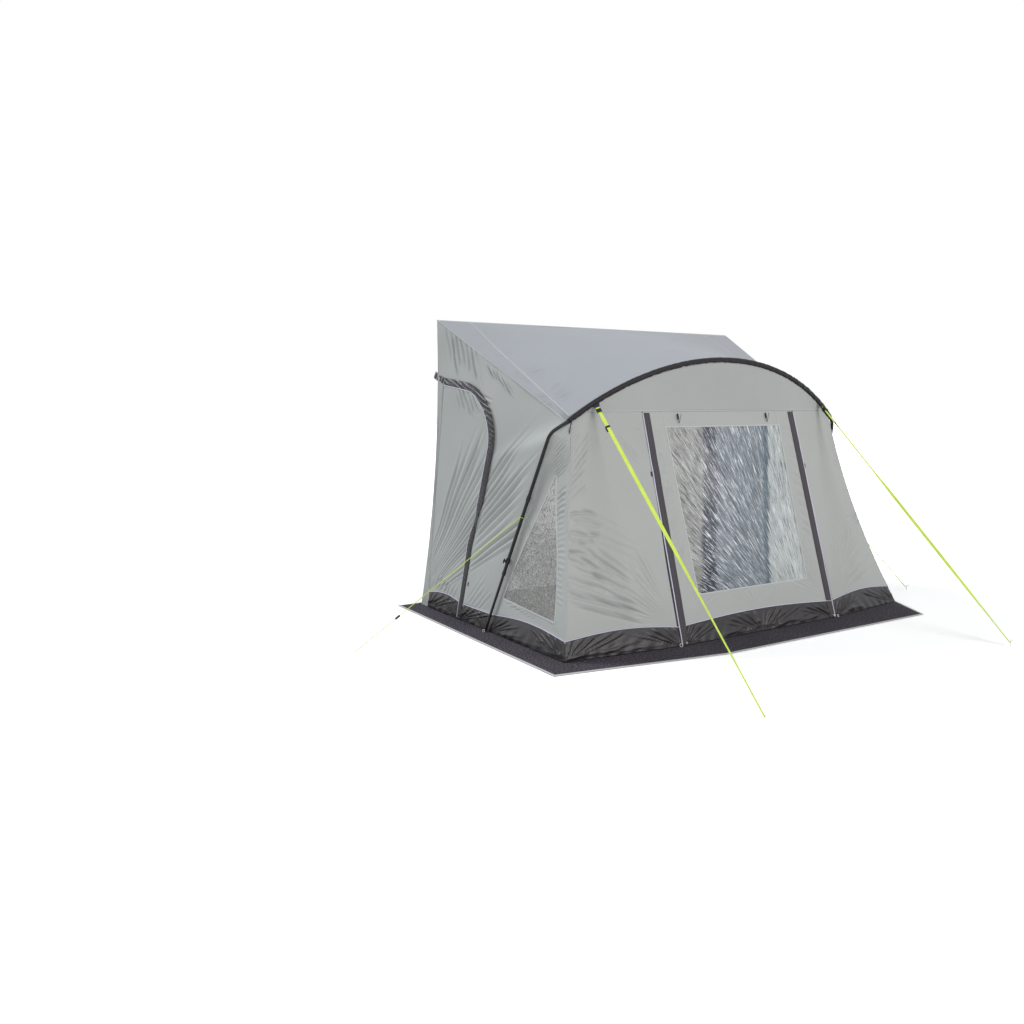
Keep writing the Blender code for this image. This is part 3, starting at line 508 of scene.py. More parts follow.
def crease_height(s, t, creases):
    """How far the cloth stands out of its plane at each place."""
    total = np.zeros_like(s)
    for s0, t0, s1, t1, near_width, far_width, height, bias in creases:
        ds, dt = s1 - s0, t1 - t0
        length = math.hypot(ds, dt)
        inside = ((s - s0) * ds + (t - t0) * dt) / length ** 2
        width = near_width + (far_width - near_width) * np.clip(inside, 0, 1)
        across = ((s - s0) * dt - (t - t0) * ds) / (length * width)
        fade = rising(inside / 0.25) * rising((1 - inside) / 0.35)
        total += height * fade * (1 + 1.3 * bias * across) * np.exp(-np.abs(across) ** 1.5)
    return total


def folds(s, t, rng, near, far, count, steepness, reach=(0.62, 1.0)):
    """Folds that run from one line on the cloth to another, near and far, each given by its two ends. The
    folds are as steep where they lie close as where they fan out, and each has its own strength and length."""
    a0, a1, b0, b1 = (np.array(point, float) for point in (*near, *far))
    u, v = np.full_like(s, 0.5), np.full_like(s, 0.5)
    for _ in range(14):
        along_u = (a1 - a0) * (1 - v)[..., None] + (b1 - b0) * v[..., None]
        along_v = (b0 - a0) * (1 - u)[..., None] + (b1 - a1) * u[..., None]
        at = a0 + (b0 - a0) * v[..., None] + along_u * u[..., None]
        miss_s, miss_t = s - at[..., 0], t - at[..., 1]
        area = along_u[..., 0] * along_v[..., 1] - along_u[..., 1] * along_v[..., 0]
        area = np.where(np.abs(area) < 1e-6, 1e-6, area)
        u = np.clip(u + (miss_s * along_v[..., 1] - miss_t * along_v[..., 0]) / area, -0.6, 1.6)
        v = np.clip(v + (along_u[..., 0] * miss_t - along_u[..., 1] * miss_s) / area, -0.6, 1.6)
    near_folds = np.arange(count + 1)
    strength, begin, end = (np.interp(u * count, near_folds, rng.uniform(low, high, count + 1))
                            for low, high in ((0.3, 1.0), (-0.1, 0.2), reach))
    wave = u * count + 0.07 * np.sin(full_turn * (v * 1.3 + u * 2.1) + rng.uniform(0, 6.3))
    wave += 0.03 * np.sin(full_turn * (v * 2.9 - u * 3.7) + rng.uniform(0, 6.3))
    profile = np.sin(full_turn * wave) + 0.3 * np.sin(2 * full_turn * wave + 0.7)
    fade = rising((v - begin) / 0.15) * rising((end - v) / 0.22) * rising(u / 0.08) * rising((1 - u) / 0.08)
    spacing = np.linalg.norm(along_u, axis=-1) / count
    settled_there = np.hypot(miss_s, miss_t) < 0.01
    return np.minimum(steepness * spacing / 6.28, steepest_fold) * strength * fade * profile * settled_there


def soft_waves(s, t, rng, count, low, high, height):
    """Slow, shallow unevenness of tensioned cloth."""
    total = np.zeros_like(s)
    for _ in range(count):
        turn, size = rng.uniform(0, math.pi), rng.uniform(low, high)
        total += np.sin((s * math.cos(turn) + t * math.sin(turn)) * full_turn / size + rng.uniform(0, 6.3))
    return total * height / count


# Building cloth

def lattice(point_of, side, across, up):
    """Points of a surface on a grid of its own two shares."""
    return np.array([[point_of(side, *pair) for pair in zip(*row)] for row in zip(across, up)])


def on_lines(low, high, rows):
    """A grid of points on straight lines between two rows of places."""
    share = np.linspace(0, 1, rows + 1)[:, None, None]
    return np.array(low)[None] * (1 - share) + np.array(high)[None] * share


def refined(grid, factor):
    """The same surface on a grid this many times finer."""
    for axis in (0, 1):
        last = grid.shape[axis] - 1
        at = np.linspace(0, last, last * factor + 1)
        low = np.minimum(at.astype(int), last - 1)
        shape = [1] * grid.ndim
        shape[axis] = -1
        part = (at - low).reshape(shape)
        grid = np.take(grid, low, axis=axis) * (1 - part) + np.take(grid, low + 1, axis=axis) * part
    return grid


def settled(points, rounds):
    """Cloth with its edges held, pulled smooth between them."""
    points = points.copy()
    for _ in range(rounds):
        inner = points[1:-1, 1:-1]
        across = (points[1:-1, :-2] + points[1:-1, 2:]) / 2
        up = (points[:-2, 1:-1] + points[2:, 1:-1]) / 2
        points[1:-1, 1:-1] = inner * 0.4 + across * 0.4 + up * 0.2
    return points


def unit_rows(vectors):
    return vectors / np.linalg.norm(vectors, axis=1, keepdims=True)


def repeated(vector, count):
    return np.tile(np.array(vector, float), (count, 1))


def surface_normals(points, outward):
    normals = np.cross(np.gradient(points, axis=1), np.gradient(points, axis=0))
    normals /= np.maximum(np.linalg.norm(normals, axis=2, keepdims=True), 1e-9)
    return -normals if (normals @ np.array(outward)).sum() < 0 else normals


def lifted(points, normals, lift):
    """The surface moved out to the middle of its cloth, and by its folds."""
    return points + normals * (cloth_middle + lift)[:, :, None]


def cloth_area(points):
    a = points[1:, 1:] - points[:-1, :-1]
    b = points[1:, :-1] - points[:-1, 1:]
    return float(np.linalg.norm(np.cross(a, b), axis=2).sum() / 2)


def cut_size(points):
    """Width and length of the flat piece that the cloth was cut from, with its area."""
    width, length = (float(np.linalg.norm(np.diff(points, axis=axis), axis=2).sum(axis=axis).max())
                     for axis in (1, 0))
    return width, length, min(cloth_area(points), width * length)


def edge_mask(points, row_cells, column_cells):
    """Zero along the outer edges of a grid and one inside, so that neighbours meet."""
    row, column = (np.minimum(np.arange(count), np.arange(count)[::-1]) for count in points.shape[:2])
    return rising(row[:, None] / row_cells) * rising(column[None, :] / column_cells)


def mesh_from(name, bm):
    mesh = bpy.data.meshes.new(name)
    bm.to_mesh(mesh)
    bm.free()
    return mesh


def grid_mesh(name, points, pattern, outward, hole=None):
    """A grid with its corners at the given points, its faces turned outwards, and the pattern's coordinates as
    UVs."""
    rows, columns = points.shape[:2]
    bm = bmesh.new()
    bmesh.ops.create_grid(bm, x_segments=columns - 1, y_segments=rows - 1, size=1)
    if hole:
        low_row, high_row, low_column, high_column = hole
        inside = []
        for face in bm.faces:
            middle = face.calc_center_median()
            column = (middle.x + 1) / 2 * (columns - 1)
            row = (middle.y + 1) / 2 * (rows - 1)
            if low_row < row < high_row and low_column < column < high_column:
                inside.append(face)
        bmesh.ops.delete(bm, geom=inside, context="FACES")
    mesh = mesh_from(name, bm)
    flat = np.empty(len(mesh.vertices) * 3)
    mesh.vertices.foreach_get("co", flat)
    flat = flat.reshape(-1, 3)
    column = np.rint((flat[:, 0] + 1) / 2 * (columns - 1)).astype(int)
    row = np.rint((flat[:, 1] + 1) / 2 * (rows - 1)).astype(int)
    mesh.vertices.foreach_set("co", points[row, column].ravel())
    corners = np.empty(len(mesh.loops), int)
    mesh.loops.foreach_get("vertex_index", corners)
    layer = mesh.uv_layers.new(name="cloth")
    layer.data.foreach_set("uv", pattern[row[corners], column[corners]].ravel())
    mesh.update()
    facing = np.empty(len(mesh.polygons) * 3)
    mesh.polygons.foreach_get("normal", facing)
    if (facing.reshape(-1, 3) @ np.array(outward)).sum() < 0:
        mesh.flip_normals()
    mesh.shade_smooth()
    return mesh


def show(name, data, look, body, node=None):
    """A visible piece: its finish, the body that it rides on, and the node that it stands for."""
    item = new_object(name, data)
    item.data.materials.append(looks[look])
    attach(item, body)
    if node:
        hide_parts(node)
    return item


def thicken(item, thickness, offset=0.0):
    modifier = item.modifiers.new("thickness", "SOLIDIFY")
    modifier.thickness, modifier.offset = thickness, offset
    return item


def grid_piece(name, points, pattern, outward, look, body, thickness, node=None, hole=None):
    mesh = grid_mesh(name, points, pattern, outward, hole)
    return thicken(show(name, mesh, look, body, node), thickness)


def cloth(name, points, s, t, outward, look, body, node, hole=None,
          thickness=cloth_thickness):
    """One cut piece of cloth, less the window cut out of it. The size and area that it was cut to are worked out
    and not used.
    """
    item = grid_piece(name, points, np.stack([s, t], axis=2), outward, look, body, thickness, node, hole=hole)
    width, length, area = cut_size(points)
    if hole:
        area -= cloth_area(points[hole[0]:hole[1] + 1, hole[2]:hole[3] + 1])
    return item


def tube(name, path, radius, look, body="shell", node=None, closed=False, resolution=3):
    """A cord, piping or rod along a path."""
    curve = bpy.data.curves.new(name, "CURVE")
    curve.dimensions = "3D"
    spline = curve.splines.new("POLY")
    spline.points.add(len(path) - 1)
    for target, point in zip(spline.points, path):
        target.co = (*point, 1.0)
    spline.use_cyclic_u = closed
    spline.use_smooth = True
    curve.bevel_depth, curve.bevel_resolution = radius, resolution
    curve.use_fill_caps = not closed
    return show(name, curve, look, body, node)


def band(name, path, lateral, normals, profile, look, body="shell", thickness=0.0012, outward=None, node=None,
         slot=None):
    """A sewn band along a path. Each profile entry is a place across the band and its height off the cloth."""
    path, lateral, normals = np.array(path), np.array(lateral), np.array(normals)
    points = np.stack([path + lateral * across + normals * height for across, height in profile])
    run = np.concatenate([[0], np.cumsum(np.linalg.norm(np.diff(path, axis=0), axis=1))])
    pattern = np.empty(points.shape[:2] + (2,))
    pattern[:, :, 0] = run
    pattern[:, :, 1] = np.array(profile)[:, :1]
    outward = normals.mean(axis=0) if outward is None else outward
    return grid_piece(name, points, pattern, outward, look, body, thickness, node), points


def side_vectors(path, normals):
    """Square to the path, in the cloth's plane."""
    return unit_rows(np.cross(np.gradient(np.array(path), axis=0), np.array(normals)))


def mitred(path, normals):
    """Ways out of a closed path, lengthened at its corners so that a band keeps its width there."""
    ahead = unit_rows(np.roll(path, -1, axis=0) - path)
    out_ahead, out_behind = np.cross(ahead, normals), np.cross(np.roll(ahead, 1, axis=0), normals)
    lateral = unit_rows(out_ahead + out_behind)
    return lateral / np.maximum(0.5, (lateral * out_ahead).sum(axis=1, keepdims=True))


def closed_loop(*rows):
    return (np.vstack([values, values[:1]]) for values in rows)


def seam_on(name, path, normals, look, body="shell", profile=seam_profile, slot=None):
    band(name, path, side_vectors(path, normals), normals, profile, look, body, thickness=0.0008, slot=slot)


# Finishes

looks = {}


def new_look(name, roughness, metallic=0.0, specular=0.5):
    material = bpy.data.materials.new(name)
    material.use_nodes = True
    tree = material.node_tree
    shader = tree.nodes["Principled BSDF"]
    give(tree, shader, Roughness=roughness, Metallic=metallic, Specular_IOR_Level=specular)
    return material, tree, shader


def cloth_look(name, colour, roughness=0.75, unevenness=0.08, crinkle=0.5, specular=0.35, sheen=0.0,
               stitched=None, kind="UV", thread_colour=None):
    """Close plain weave with fine crinkles and slow unevenness of shade. With stitched, two rows of stitches
    this far from the middle of a band."""
    material, tree, shader = new_look(name, roughness, specular=specular)
    where, x, y = coordinates(tree, kind, "XY")
    threads = (x * thread_turns).do("SINE") * (y * thread_turns).do("SINE")
    slow = noise(where, 2.3, 3.0, 0.55)
    streaks = noise(where, 9.0, 2.0, 0.5, (6.0, 0.25, 1.0))
    crinkles = noise(where, 46.0, 4.0, 0.62, (1.0, 0.7, 1.0))
    uneven = (slow - 0.5) * 1.6 + (streaks - 0.5) * 0.5 + threads * 0.22
    shade = scaled(colour, uneven * unevenness + 1.0)
    height = threads * 0.00006 + crinkles * crinkle * 0.0022
    if stitched:
        dash = x.do("DIVIDE", 0.0035).do("FRACT").do("LESS_THAN", 0.72)
        stitches = dash * (y.do("ABSOLUTE") - stitched).do("ABSOLUTE").do("LESS_THAN", 0.0005)
        lighter = thread_colour or tuple(min(1.0, value * 1.5 + 0.05) for value in colour)
        shade = mixed(shade, (*lighter, 1), stitches)
        height = height + stitches * 0.0004
    give(tree, shader, Base_Color=shade, Roughness=crinkles.spread(0.3, 0.7, -0.05, 0.05) + roughness,
         Sheen_Weight=sheen, Normal=relief(height, 0.7))
    return material


def film_look(name, hazes, stretches, painted_glint_range, painted_reflection_tints):
    """Clear flexible film, crinkled along the lines that it is pulled in, with painted bright and dark glints on
    the crinkles.
    Painted reflections and painted views through it run across the window in bands of colour, broken up along the
    crinkles."""
    material, tree, shader = new_look(name, 0.12)
    where = made(tree, "TexCoord", "UV")
    broad = noise(where, 1.0, 3.0, 0.6, stretches[0])
    fine = noise(where, 1.0, 4.0, 0.7, stretches[1])
    patches = noise(where, 1.0, 2.0, 0.5, (5.0, 1.6, 1.0))
    streak = fine * 0.7 + broad * 0.3
    dark = streak.spread(0.49, 0.42)
    _, x, z = coordinates(tree, "Object", "XZ")
    # Painted reflections: bands of colour across the window, set by the place on the window and broken up along
    # the crinkles.
    painted_reflection_at = x + z * -0.26 + ((broad - 0.5) * 0.14 + (patches - 0.5) * 0.08)
    ramp = tree.nodes.new("ShaderNodeValToRGB")
    give(tree, ramp, Fac=painted_reflection_at.spread(-0.99, 0.51))
    while len(ramp.color_ramp.elements) < len(painted_reflection_tints):
        ramp.color_ramp.elements.new(0.5)
    for stop, (at, painted_reflection_colour, painted_glint_share) in zip(ramp.color_ramp.elements, painted_reflection_tints):
        stop.position = at
        stop.color = (*painted_reflection_colour, painted_glint_share)
    # Painted glints: near-white highlights on the crinkles, then painted dark reflections in them.
    light = streak.spread(*painted_glint_range) * Wire(tree, ramp.outputs["Alpha"])
    shade = mixed(Wire(tree, ramp.outputs["Color"]), (0.92, 0.94, 0.95, 1), light)
    shade = mixed(shade, (0.020, 0.026, 0.042, 1), dark * 0.75)
    haze = patches.spread(0.35, 0.7, *hazes)
    give(tree, shader, Base_Color=shade, Alpha=(light * 0.30 + dark * 0.20).do("ADD", haze, clamp=True),
         Normal=relief(streak * 0.004, 0.9))
    return material


def metal_look(name, colour, roughness, metallic, wear=0.0, grain=380.0, specular=0.5):
    """Coated or bare metal with fine grain and, where asked, worn lighter spots."""
    material, tree, shader = new_look(name, roughness, metallic, specular)
    where = made(tree, "TexCoord", "Object")
    fine = noise(where, grain, 3.0, 0.6)
    worn = noise(where, 24.0, 3.0, 0.6).spread(0.62, 0.74) * wear
    lighter = [min(1.0, value * 2.6 + 0.05) for value in colour]
    give(tree, shader, Base_Color=mixed((*colour, 1), (*lighter, 1), worn),
         Roughness=fine.spread(0.3, 0.7, roughness - 0.07, roughness + 0.09), Normal=relief(fine * 0.0004, 0.5))
    return material


def webbing_look(name, colour, ribs=2600.0):
    """Woven webbing with ribs across it and slow changes of shade."""
    material, tree, shader = new_look(name, 0.6, specular=0.35)
    where, x, y = coordinates(tree, "UV", "XY")
    body = (x * ribs).do("SINE") * (y * (ribs * 0.8)).do("SINE")
    bright = body * 0.10 + noise(where, 14.0).spread(0.3, 0.7, 0.92, 1.04)
    give(tree, shader, Base_Color=scaled(colour, bright), Normal=relief(body * 0.0003, 0.8))
    return material


def ruche_look():
    """The ruched ribbon: black, with a painted pale highlight on the crests of its folds, stronger higher up."""
    material, tree, shader = new_look("ruched_cover_cloth", 0.5, specular=0.30)
    where, x = coordinates(tree, "UV", "X")
    _, z = coordinates(tree, "Object", "Z")
    crinkle = noise(where, 160.0, 4.0, 0.65)
    stripe = (x * (full_turn / ruffle_spacing)).do("SINE").spread(0.62, 0.95)
    broken = noise(where, 30.0, 2.0, 0.6).spread(0.34, 0.56)
    # Painted highlight: pale on the crests of the ruffles, broken up, and stronger higher up the door.
    painted_crest_highlight = stripe * z.spread(1.30, 1.72, 0.05, 0.75) * broken
    give(tree, shader, Base_Color=mixed((0.009, 0.008, 0.010, 1), (0.46, 0.46, 0.50, 1), painted_crest_highlight),
         Roughness=crinkle.spread(0.3, 0.7, 0.30, 0.48), Normal=relief(crinkle * 0.0040, 0.8))
    return material


def carpet_look():
    """Breathable ribbed carpet: charcoal yarn with a purple cast, speckled with paler tufts."""
    material, tree, shader = new_look("speckled_carpet", 0.95, specular=0.15)
    where = made(tree, "TexCoord", "UV")
    tuft = noise(where, 210.0, 3.0, 0.75)
    speckle = (tuft * 0.45 + noise(where, 85.0, 3.0, 0.7) * 0.55).spread(0.46, 0.59)
    yarn = mixed((0.018, 0.016, 0.021, 1), (0.150, 0.138, 0.165, 1), speckle)
    give(tree, shader, Base_Color=scaled(yarn, noise(where, 1.6).spread(0.3, 0.7, 0.85, 1.15)),
         Normal=relief(tuft * 0.004, 0.9))
    return material


def make_looks():
    for look, name, colour, more in (
            # The roof cloth's blue cast is painted sky light, not a colour of the cloth.
            ("roof", "roof_cloth", (0.345, 0.363, 0.390), dict(unevenness=0.05, crinkle=0.25)),
            ("front", "front_cloth", (0.418, 0.426, 0.420), dict(unevenness=0.05, crinkle=0.35)),
            ("side", "side_cloth", (0.410, 0.428, 0.422), dict(unevenness=0.06, crinkle=0.4)),
            ("seam", "felled_seam", (0.43, 0.445, 0.445), dict(unevenness=0.04, crinkle=0.3, stitched=0.0035)),
            ("welt", "window_welt", (0.50, 0.515, 0.51), dict(unevenness=0.04, crinkle=0.3, stitched=0.0035)),
            ("mud", "mud_wall_cloth", (0.019, 0.016, 0.019),
             dict(roughness=0.40, unevenness=0.2, crinkle=0.30, specular=0.42, sheen=0.02)),
            ("cover", "zip_cover_cloth", (0.062, 0.055, 0.064),
             dict(roughness=0.6, unevenness=0.15, crinkle=0.6, specular=0.2, stitched=0.021,
                  thread_colour=(0.16, 0.15, 0.17))),
            ("sleeve", "sleeve_cloth", (0.012, 0.010, 0.012),
             dict(roughness=0.5, unevenness=0.2, crinkle=1.0, specular=0.22)),
            ("tab", "strap_tab_cloth", (0.040, 0.036, 0.060),
             dict(roughness=0.65, unevenness=0.1, specular=0.2, kind="Object")),
            ("piping", "lilac_piping", (0.66, 0.65, 0.80), dict(roughness=0.6, unevenness=0.06, kind="Object")),
            ("bead", "bead_cloth", (0.55, 0.56, 0.57), dict(kind="Object")),
            ("binding", "carpet_binding", (0.50, 0.49, 0.50),
             dict(roughness=0.8, stitched=0.007, thread_colour=(0.16, 0.16, 0.17))),
            ("tape", "zip_tape", (0.035, 0.033, 0.036), dict(roughness=0.7))):
        looks[look] = cloth_look(name, colour, **more)
    for look, name, colour, roughness, metallic, more in (
            ("pole", "powder_coated_pole", (0.009, 0.009, 0.010), 0.40, 0.0, dict(wear=0.10, specular=0.25)),
            ("plastic", "moulded_black_plastic", (0.012, 0.012, 0.013), 0.45, 0.0,
             dict(grain=900.0, specular=0.25)),
            ("zip", "black_zip_metal", (0.020, 0.020, 0.021), 0.32, 0.6, dict(wear=0.15)),
            ("steel", "galvanised_peg", (0.62, 0.63, 0.64), 0.30, 1.0, dict(wear=0.2)),
            ("brass", "brass_eyelet", (0.72, 0.55, 0.28), 0.30, 1.0, {}),
            ("ring", "white_plastic_ring", (0.80, 0.80, 0.80), 0.35, 0.0, {})):
        looks[look] = metal_look(name, colour, roughness, metallic, **more)
    looks["webbing"] = webbing_look("signal_webbing", (0.66, 0.86, 0.12))
    looks["line"] = webbing_look("signal_guy_line", (0.47, 0.68, 0.06), ribs=5000.0)
    looks["ruche"] = ruche_look()
    looks["carpet"] = carpet_look()
    # The films' bands of colour are painted reflections and painted views through the film, from the left of each
    # window to the right, each with its share of painted glints.
    looks["front film"] = film_look(
        "front_window_film", (0.66, 0.88), ((45.0, 4.0, 1.0), (130.0, 9.0, 1.0)), (0.53, 0.59),
        ((0.00, (0.37, 0.365, 0.35), 0.35), (0.235, (0.33, 0.33, 0.32), 0.45),
         (0.255, (0.020, 0.030, 0.055), 0.9), (0.330, (0.030, 0.042, 0.075), 0.9),
         (0.352, (0.24, 0.27, 0.32), 0.85), (0.665, (0.25, 0.29, 0.34), 0.7),
         (0.680, (0.10, 0.15, 0.20), 0.4), (0.700, (0.12, 0.17, 0.22), 0.3),
         (0.715, (0.52, 0.57, 0.57), 0.5), (1.00, (0.60, 0.63, 0.63), 0.5)))
    looks["side film"] = film_look(
        "side_window_film", (0.62, 0.84), ((60.0, 25.0, 1.0), (150.0, 70.0, 1.0)), (0.55, 0.64),
        ((0.0, (0.27, 0.27, 0.25), 0.55), (1.0, (0.29, 0.285, 0.27), 0.55)))


# Roof and valance

def roof_seat(across):
    rail = place(across / corner_top_half * roof_seam_half, 0, rail_height)
    arch = arch_point(across)
    return arch + (rail - arch).normalized() * sleeve_seat


def make_roof():
    rng = np.random.RandomState(11)
    gore, main, rows = 14, 190, 128
    rail_edge, front_edge = [], []
    for share in spaced(0, 1, gore)[:-1]:
        rail_edge.append(place(-rail_half, 0, rail_height).lerp(place(-roof_seam_half, 0, rail_height), share))
        front_edge.append(shell_corner(-1).lerp(roof_seat(-corner_top_half), share))
    for across in spaced(-1, 1, main):
        rail_edge.append(place(across * roof_seam_half, 0, rail_height))
        front_edge.append(roof_seat(across * corner_top_half))
    for edge in (rail_edge, front_edge):
        edge += [Matrix.Diagonal((-1, 1, 1)) @ point for point in edge[gore - 1::-1]]
    points = on_lines(rail_edge, front_edge, rows)
    normals = surface_normals(points, (0, 0, 1))
    s, t = points[:, :, 0], np.linalg.norm(points - np.array(rail_edge)[None], axis=2)
    creases = []
    for side, _ in sides:
        for _ in range(34):
            down = rng.uniform(0.1, 0.97)
            middle = (side * (1.318 + 0.027 * down) - side * rng.uniform(-0.10, 0.16), 1.73 * down)
            turn = rng.normal(math.pi / 2 - side * 1.05, 0.25)
            half = rng.uniform(0.03, 0.10)
            run = (math.cos(turn) * half, math.sin(turn) * half)
            creases.append(crease_about(middle, run, rng.uniform(0.010, 0.018), rng.uniform(0.0006, 0.0018)))
        creases += fan(rng, (side * 1.34, 1.60), (side * 0.75, 0.9), (side * 1.25, 0.5), 7, 0.020, 0.0022)
    creases += hanging(rng, rng.uniform(-1.25, 1.25, 44), lambda _: 1.74, (0.06, 0.26), (0.010, 0.022),
                       (0.0005, 0.0016), 1.8, 0.985)
    lift = crease_height(s, t, creases) + soft_waves(s, t, rng, 7, 0.5, 1.4, 0.006)
    for side, _ in sides:
        for start, stop, wide, count in ((0.58, 0.70, 0.12, 4), (0.96, 1.18, 0.17, 6), (1.32, 1.54, 0.18, 6)):
            lift += folds(s * side, t, rng, ((1.322, start), (1.330, stop)),
                          ((1.325 - wide, start - 0.05), (1.325 - wide, stop - 0.05)), count, 1.25)
            lift += folds(s * side, t, rng, ((1.335, start), (1.345, stop)),
                          ((1.42, start - 0.04), (1.42, stop - 0.04)), count, 1.10)
    down = np.linspace(0, 1, rows + 1)[:, None]
    lift -= 0.010 * 4 * down * (1 - down)
    points = lifted(points, normals, lift * edge_mask(points, 4, 2))
    cloth("roof_cloth", points, s, t, (0, 0, 1), "roof", "shell", "roof_panel")
    normals = surface_normals(points, (0, 0, 1))
    last = len(rail_edge) - 1
    for column, name in ((0, "edge_seam_left"), (last, "edge_seam_right"), (gore, "gore_seam_left"),
                         (last - gore, "gore_seam_right")):
        seam_on(f"roof_{name}", points[2:-1, column], normals[2:-1, column], "seam", slot="roof_cloth")
    hem = ((0.002, 0.0007), (0.004, 0.0016), (0.026, 0.0016), (0.028, 0.0007))
    band("rail_hem", points[0], unit_rows(points[6] - points[0]), normals[3], hem, "seam", thickness=0.0008,
         slot="roof_cloth")


def make_valance():
    rng = np.random.RandomState(12)
    seam_height = top_seam_height + 0.0012
    end_half = shoulder_half(seam_height + 0.003)
    rows, columns = 26, 200
    points = np.empty((rows + 1, columns + 1, 3))
    for column, across in enumerate(spaced(-end_half, end_half, columns)):
        low = np.array(place(across, seam_reach(across, seam_height, end_half), seam_height))
        high = np.array(below_arch(across))
        for row, share in enumerate(spaced(0, 1, rows)):
            points[row, column] = low + (high - low) * share
    normals = surface_normals(points, (0, -1, 0))
    s, t = points[:, :, 0], points[:, :, 2]
    creases = hanging(rng, rng.uniform(-1.2, 1.2, 40), lambda across: arch_height(across) - 0.02, (0.04, 0.16),
                      (0.008, 0.018), (0.0004, 0.0012), 1.6)
    creases += drawn(rng, (-1.1, 1.66), (1.1, 1.95), (1, 0.1), 12, 0.35, 0.03, 0.0012)
    lift = crease_height(s, t, creases) + soft_waves(s, t, rng, 6, 0.4, 1.2, 0.004)
    points = lifted(points, normals, lift * edge_mask(points, 4, 3))
    cloth("valance_cloth", points, s, t, (0, -1, 0), "front", "shell", "front_valance")
    tight_half = shoulder_half(top_seam_height + 0.0042)
    seam = [place(across, seam_reach(across, top_seam_height, tight_half), top_seam_height + 0.003)
            for across in spaced(-end_half + 0.01, end_half - 0.01, 160)]
    seam_on("top_seam", seam, repeated(front_outward(), len(seam)), "seam",
            profile=((-0.005, 0.0022), (-0.003, 0.0034), (0.003, 0.0034), (0.005, 0.0022)))


# Front wall and its windows

def make_front_corner(side, word):
    rng = np.random.RandomState(20 + side)
    rows, columns = 56, 36
    across, up = np.empty((rows + 1, columns + 1)), np.empty((rows + 1, columns + 1))
    for column, inside in enumerate(spaced(0, 1, columns)):
        spot = 0.0003 + (1 - 0.0025) * inside
        foot = share_at(corner_point, side, spot, scallop(inside) + 0.0008)
        across[:, column] = spot
        up[:, column] = foot + (0.9995 - foot) * np.linspace(0, 1, rows + 1)
    points = settled(refined(settled(lattice(corner_point, side, across, up), 2500), 4), 30)
    normals = surface_normals(points, (0, -1, 0))
    s, t = np.abs(points[:, :, 0]), points[:, :, 2]
    lift = soft_waves(s, t, rng, 6, 0.35, 1.0, 0.010)
    for group in (
            (((1.385, 1.52), (1.44, 1.28)), ((1.25, 1.60), (1.28, 1.46)), 7, 0.75),
            (((1.44, 1.30), (1.525, 0.98)), ((1.22, 1.56), (1.27, 1.12)), 8, 0.95),
            (((1.525, 1.00), (1.62, 0.58)), ((1.24, 1.00), (1.20, 0.42)), 7, 1.25),
            (((1.58, 0.92), (1.70, 0.34)), ((1.04, 0.44), (0.98, 0.14)), 6, 1.55),
            (((1.42, 0.84), (1.50, 0.38)), ((0.90, 0.38), (0.88, 0.16)), 5, 1.35),
            (((0.800, 0.150), (0.835, 0.140)), ((1.02, 0.84), (1.50, 0.30)), 12, 1.45),
            (((1.45, 1.05), (1.45, 0.70)), ((0.88, 0.74), (0.86, 0.45)), 5, 0.45),
            (((1.05, 1.54), (1.03, 1.40)), ((0.80, 1.27), (0.80, 1.15)), 3, 0.60),
            (((0.92, 1.59), (0.90, 1.34)), ((0.80, 1.54), (0.80, 1.28)), 8, 0.50)):
        lift += folds(s, t, rng, *group)
    lift *= (0.1 + 0.9 * rising((s - 0.808) / 0.03)) * sided(side, 1.0, 0.45)
    points = lifted(points, normals, lift * edge_mask(points, 4, 3))
    cloth(f"front_corner_cloth_{word}", points, s, t, (0, -1, 0), "front", "shell", f"front_corner_{word}")
    edge, outward = points[:, -1], surface_normals(points, (0, -1, 0))[:, -1]
    lateral = side_vectors(edge, outward)
    lateral *= math.copysign(1, lateral[0, 0] * side)
    lateral *= (0.42 + 0.58 * rising((1.05 - edge[:, 2]) / 0.5))[:, None]
    band(f"front_zip_tape_{word}", edge, lateral, outward, ((0.0, 0.0008), (0.012, 0.0010), (0.023, 0.0010)),
         "tape", thickness=0.0006)


def windowed(columns, rows, left, right, low, tip, foot, top, ends):
    """Two grids of shares, whose lines follow a window's outline, and the cells that the window takes."""
    before, middle, after = columns
    below, beside, above = rows
    across, up = np.empty((sum(rows) + 1, sum(columns) + 1)), np.empty((sum(rows) + 1, sum(columns) + 1))
    for row in range(sum(rows) + 1):
        rise = min(1.0, max(0.0, (row - below) / beside))
        over = min(1.0, max(0.0, (row - below - beside) / above))
        a, b = left(rise, over), right(rise, over)
        for column in range(sum(columns) + 1):
            if column <= before:
                spot = ends[0] + (a - ends[0]) * column / before
            elif column <= before + middle:
                spot = a + (b - a) * (column - before) / middle
            else:
                spot = b + (ends[1] - b) * (column - before - middle) / after
            across[row, column] = spot
            if row <= below:
                up[row, column] = foot(spot) + (low(spot) - foot(spot)) * row / below
            elif row <= below + beside:
                up[row, column] = low(spot) + (tip - low(spot)) * rise
            else:
                up[row, column] = tip + (top - tip) * over
    return across, up, (below, below + beside, before, before + middle)


def hole_mask(points, hole, cells):
    """Zero at a window's edge, rising to one away from it, so that the welt and film lie flat there."""
    low_row, high_row, low_column, high_column = hole
    row, column = np.arange(points.shape[0])[:, None], np.arange(points.shape[1])[None, :]
    away_row = np.maximum(np.maximum(low_row - row, row - high_row), 0)
    away_column = np.maximum(np.maximum(low_column - column, column - high_column), 0)
    return rising(np.hypot(away_row, away_column) / cells)


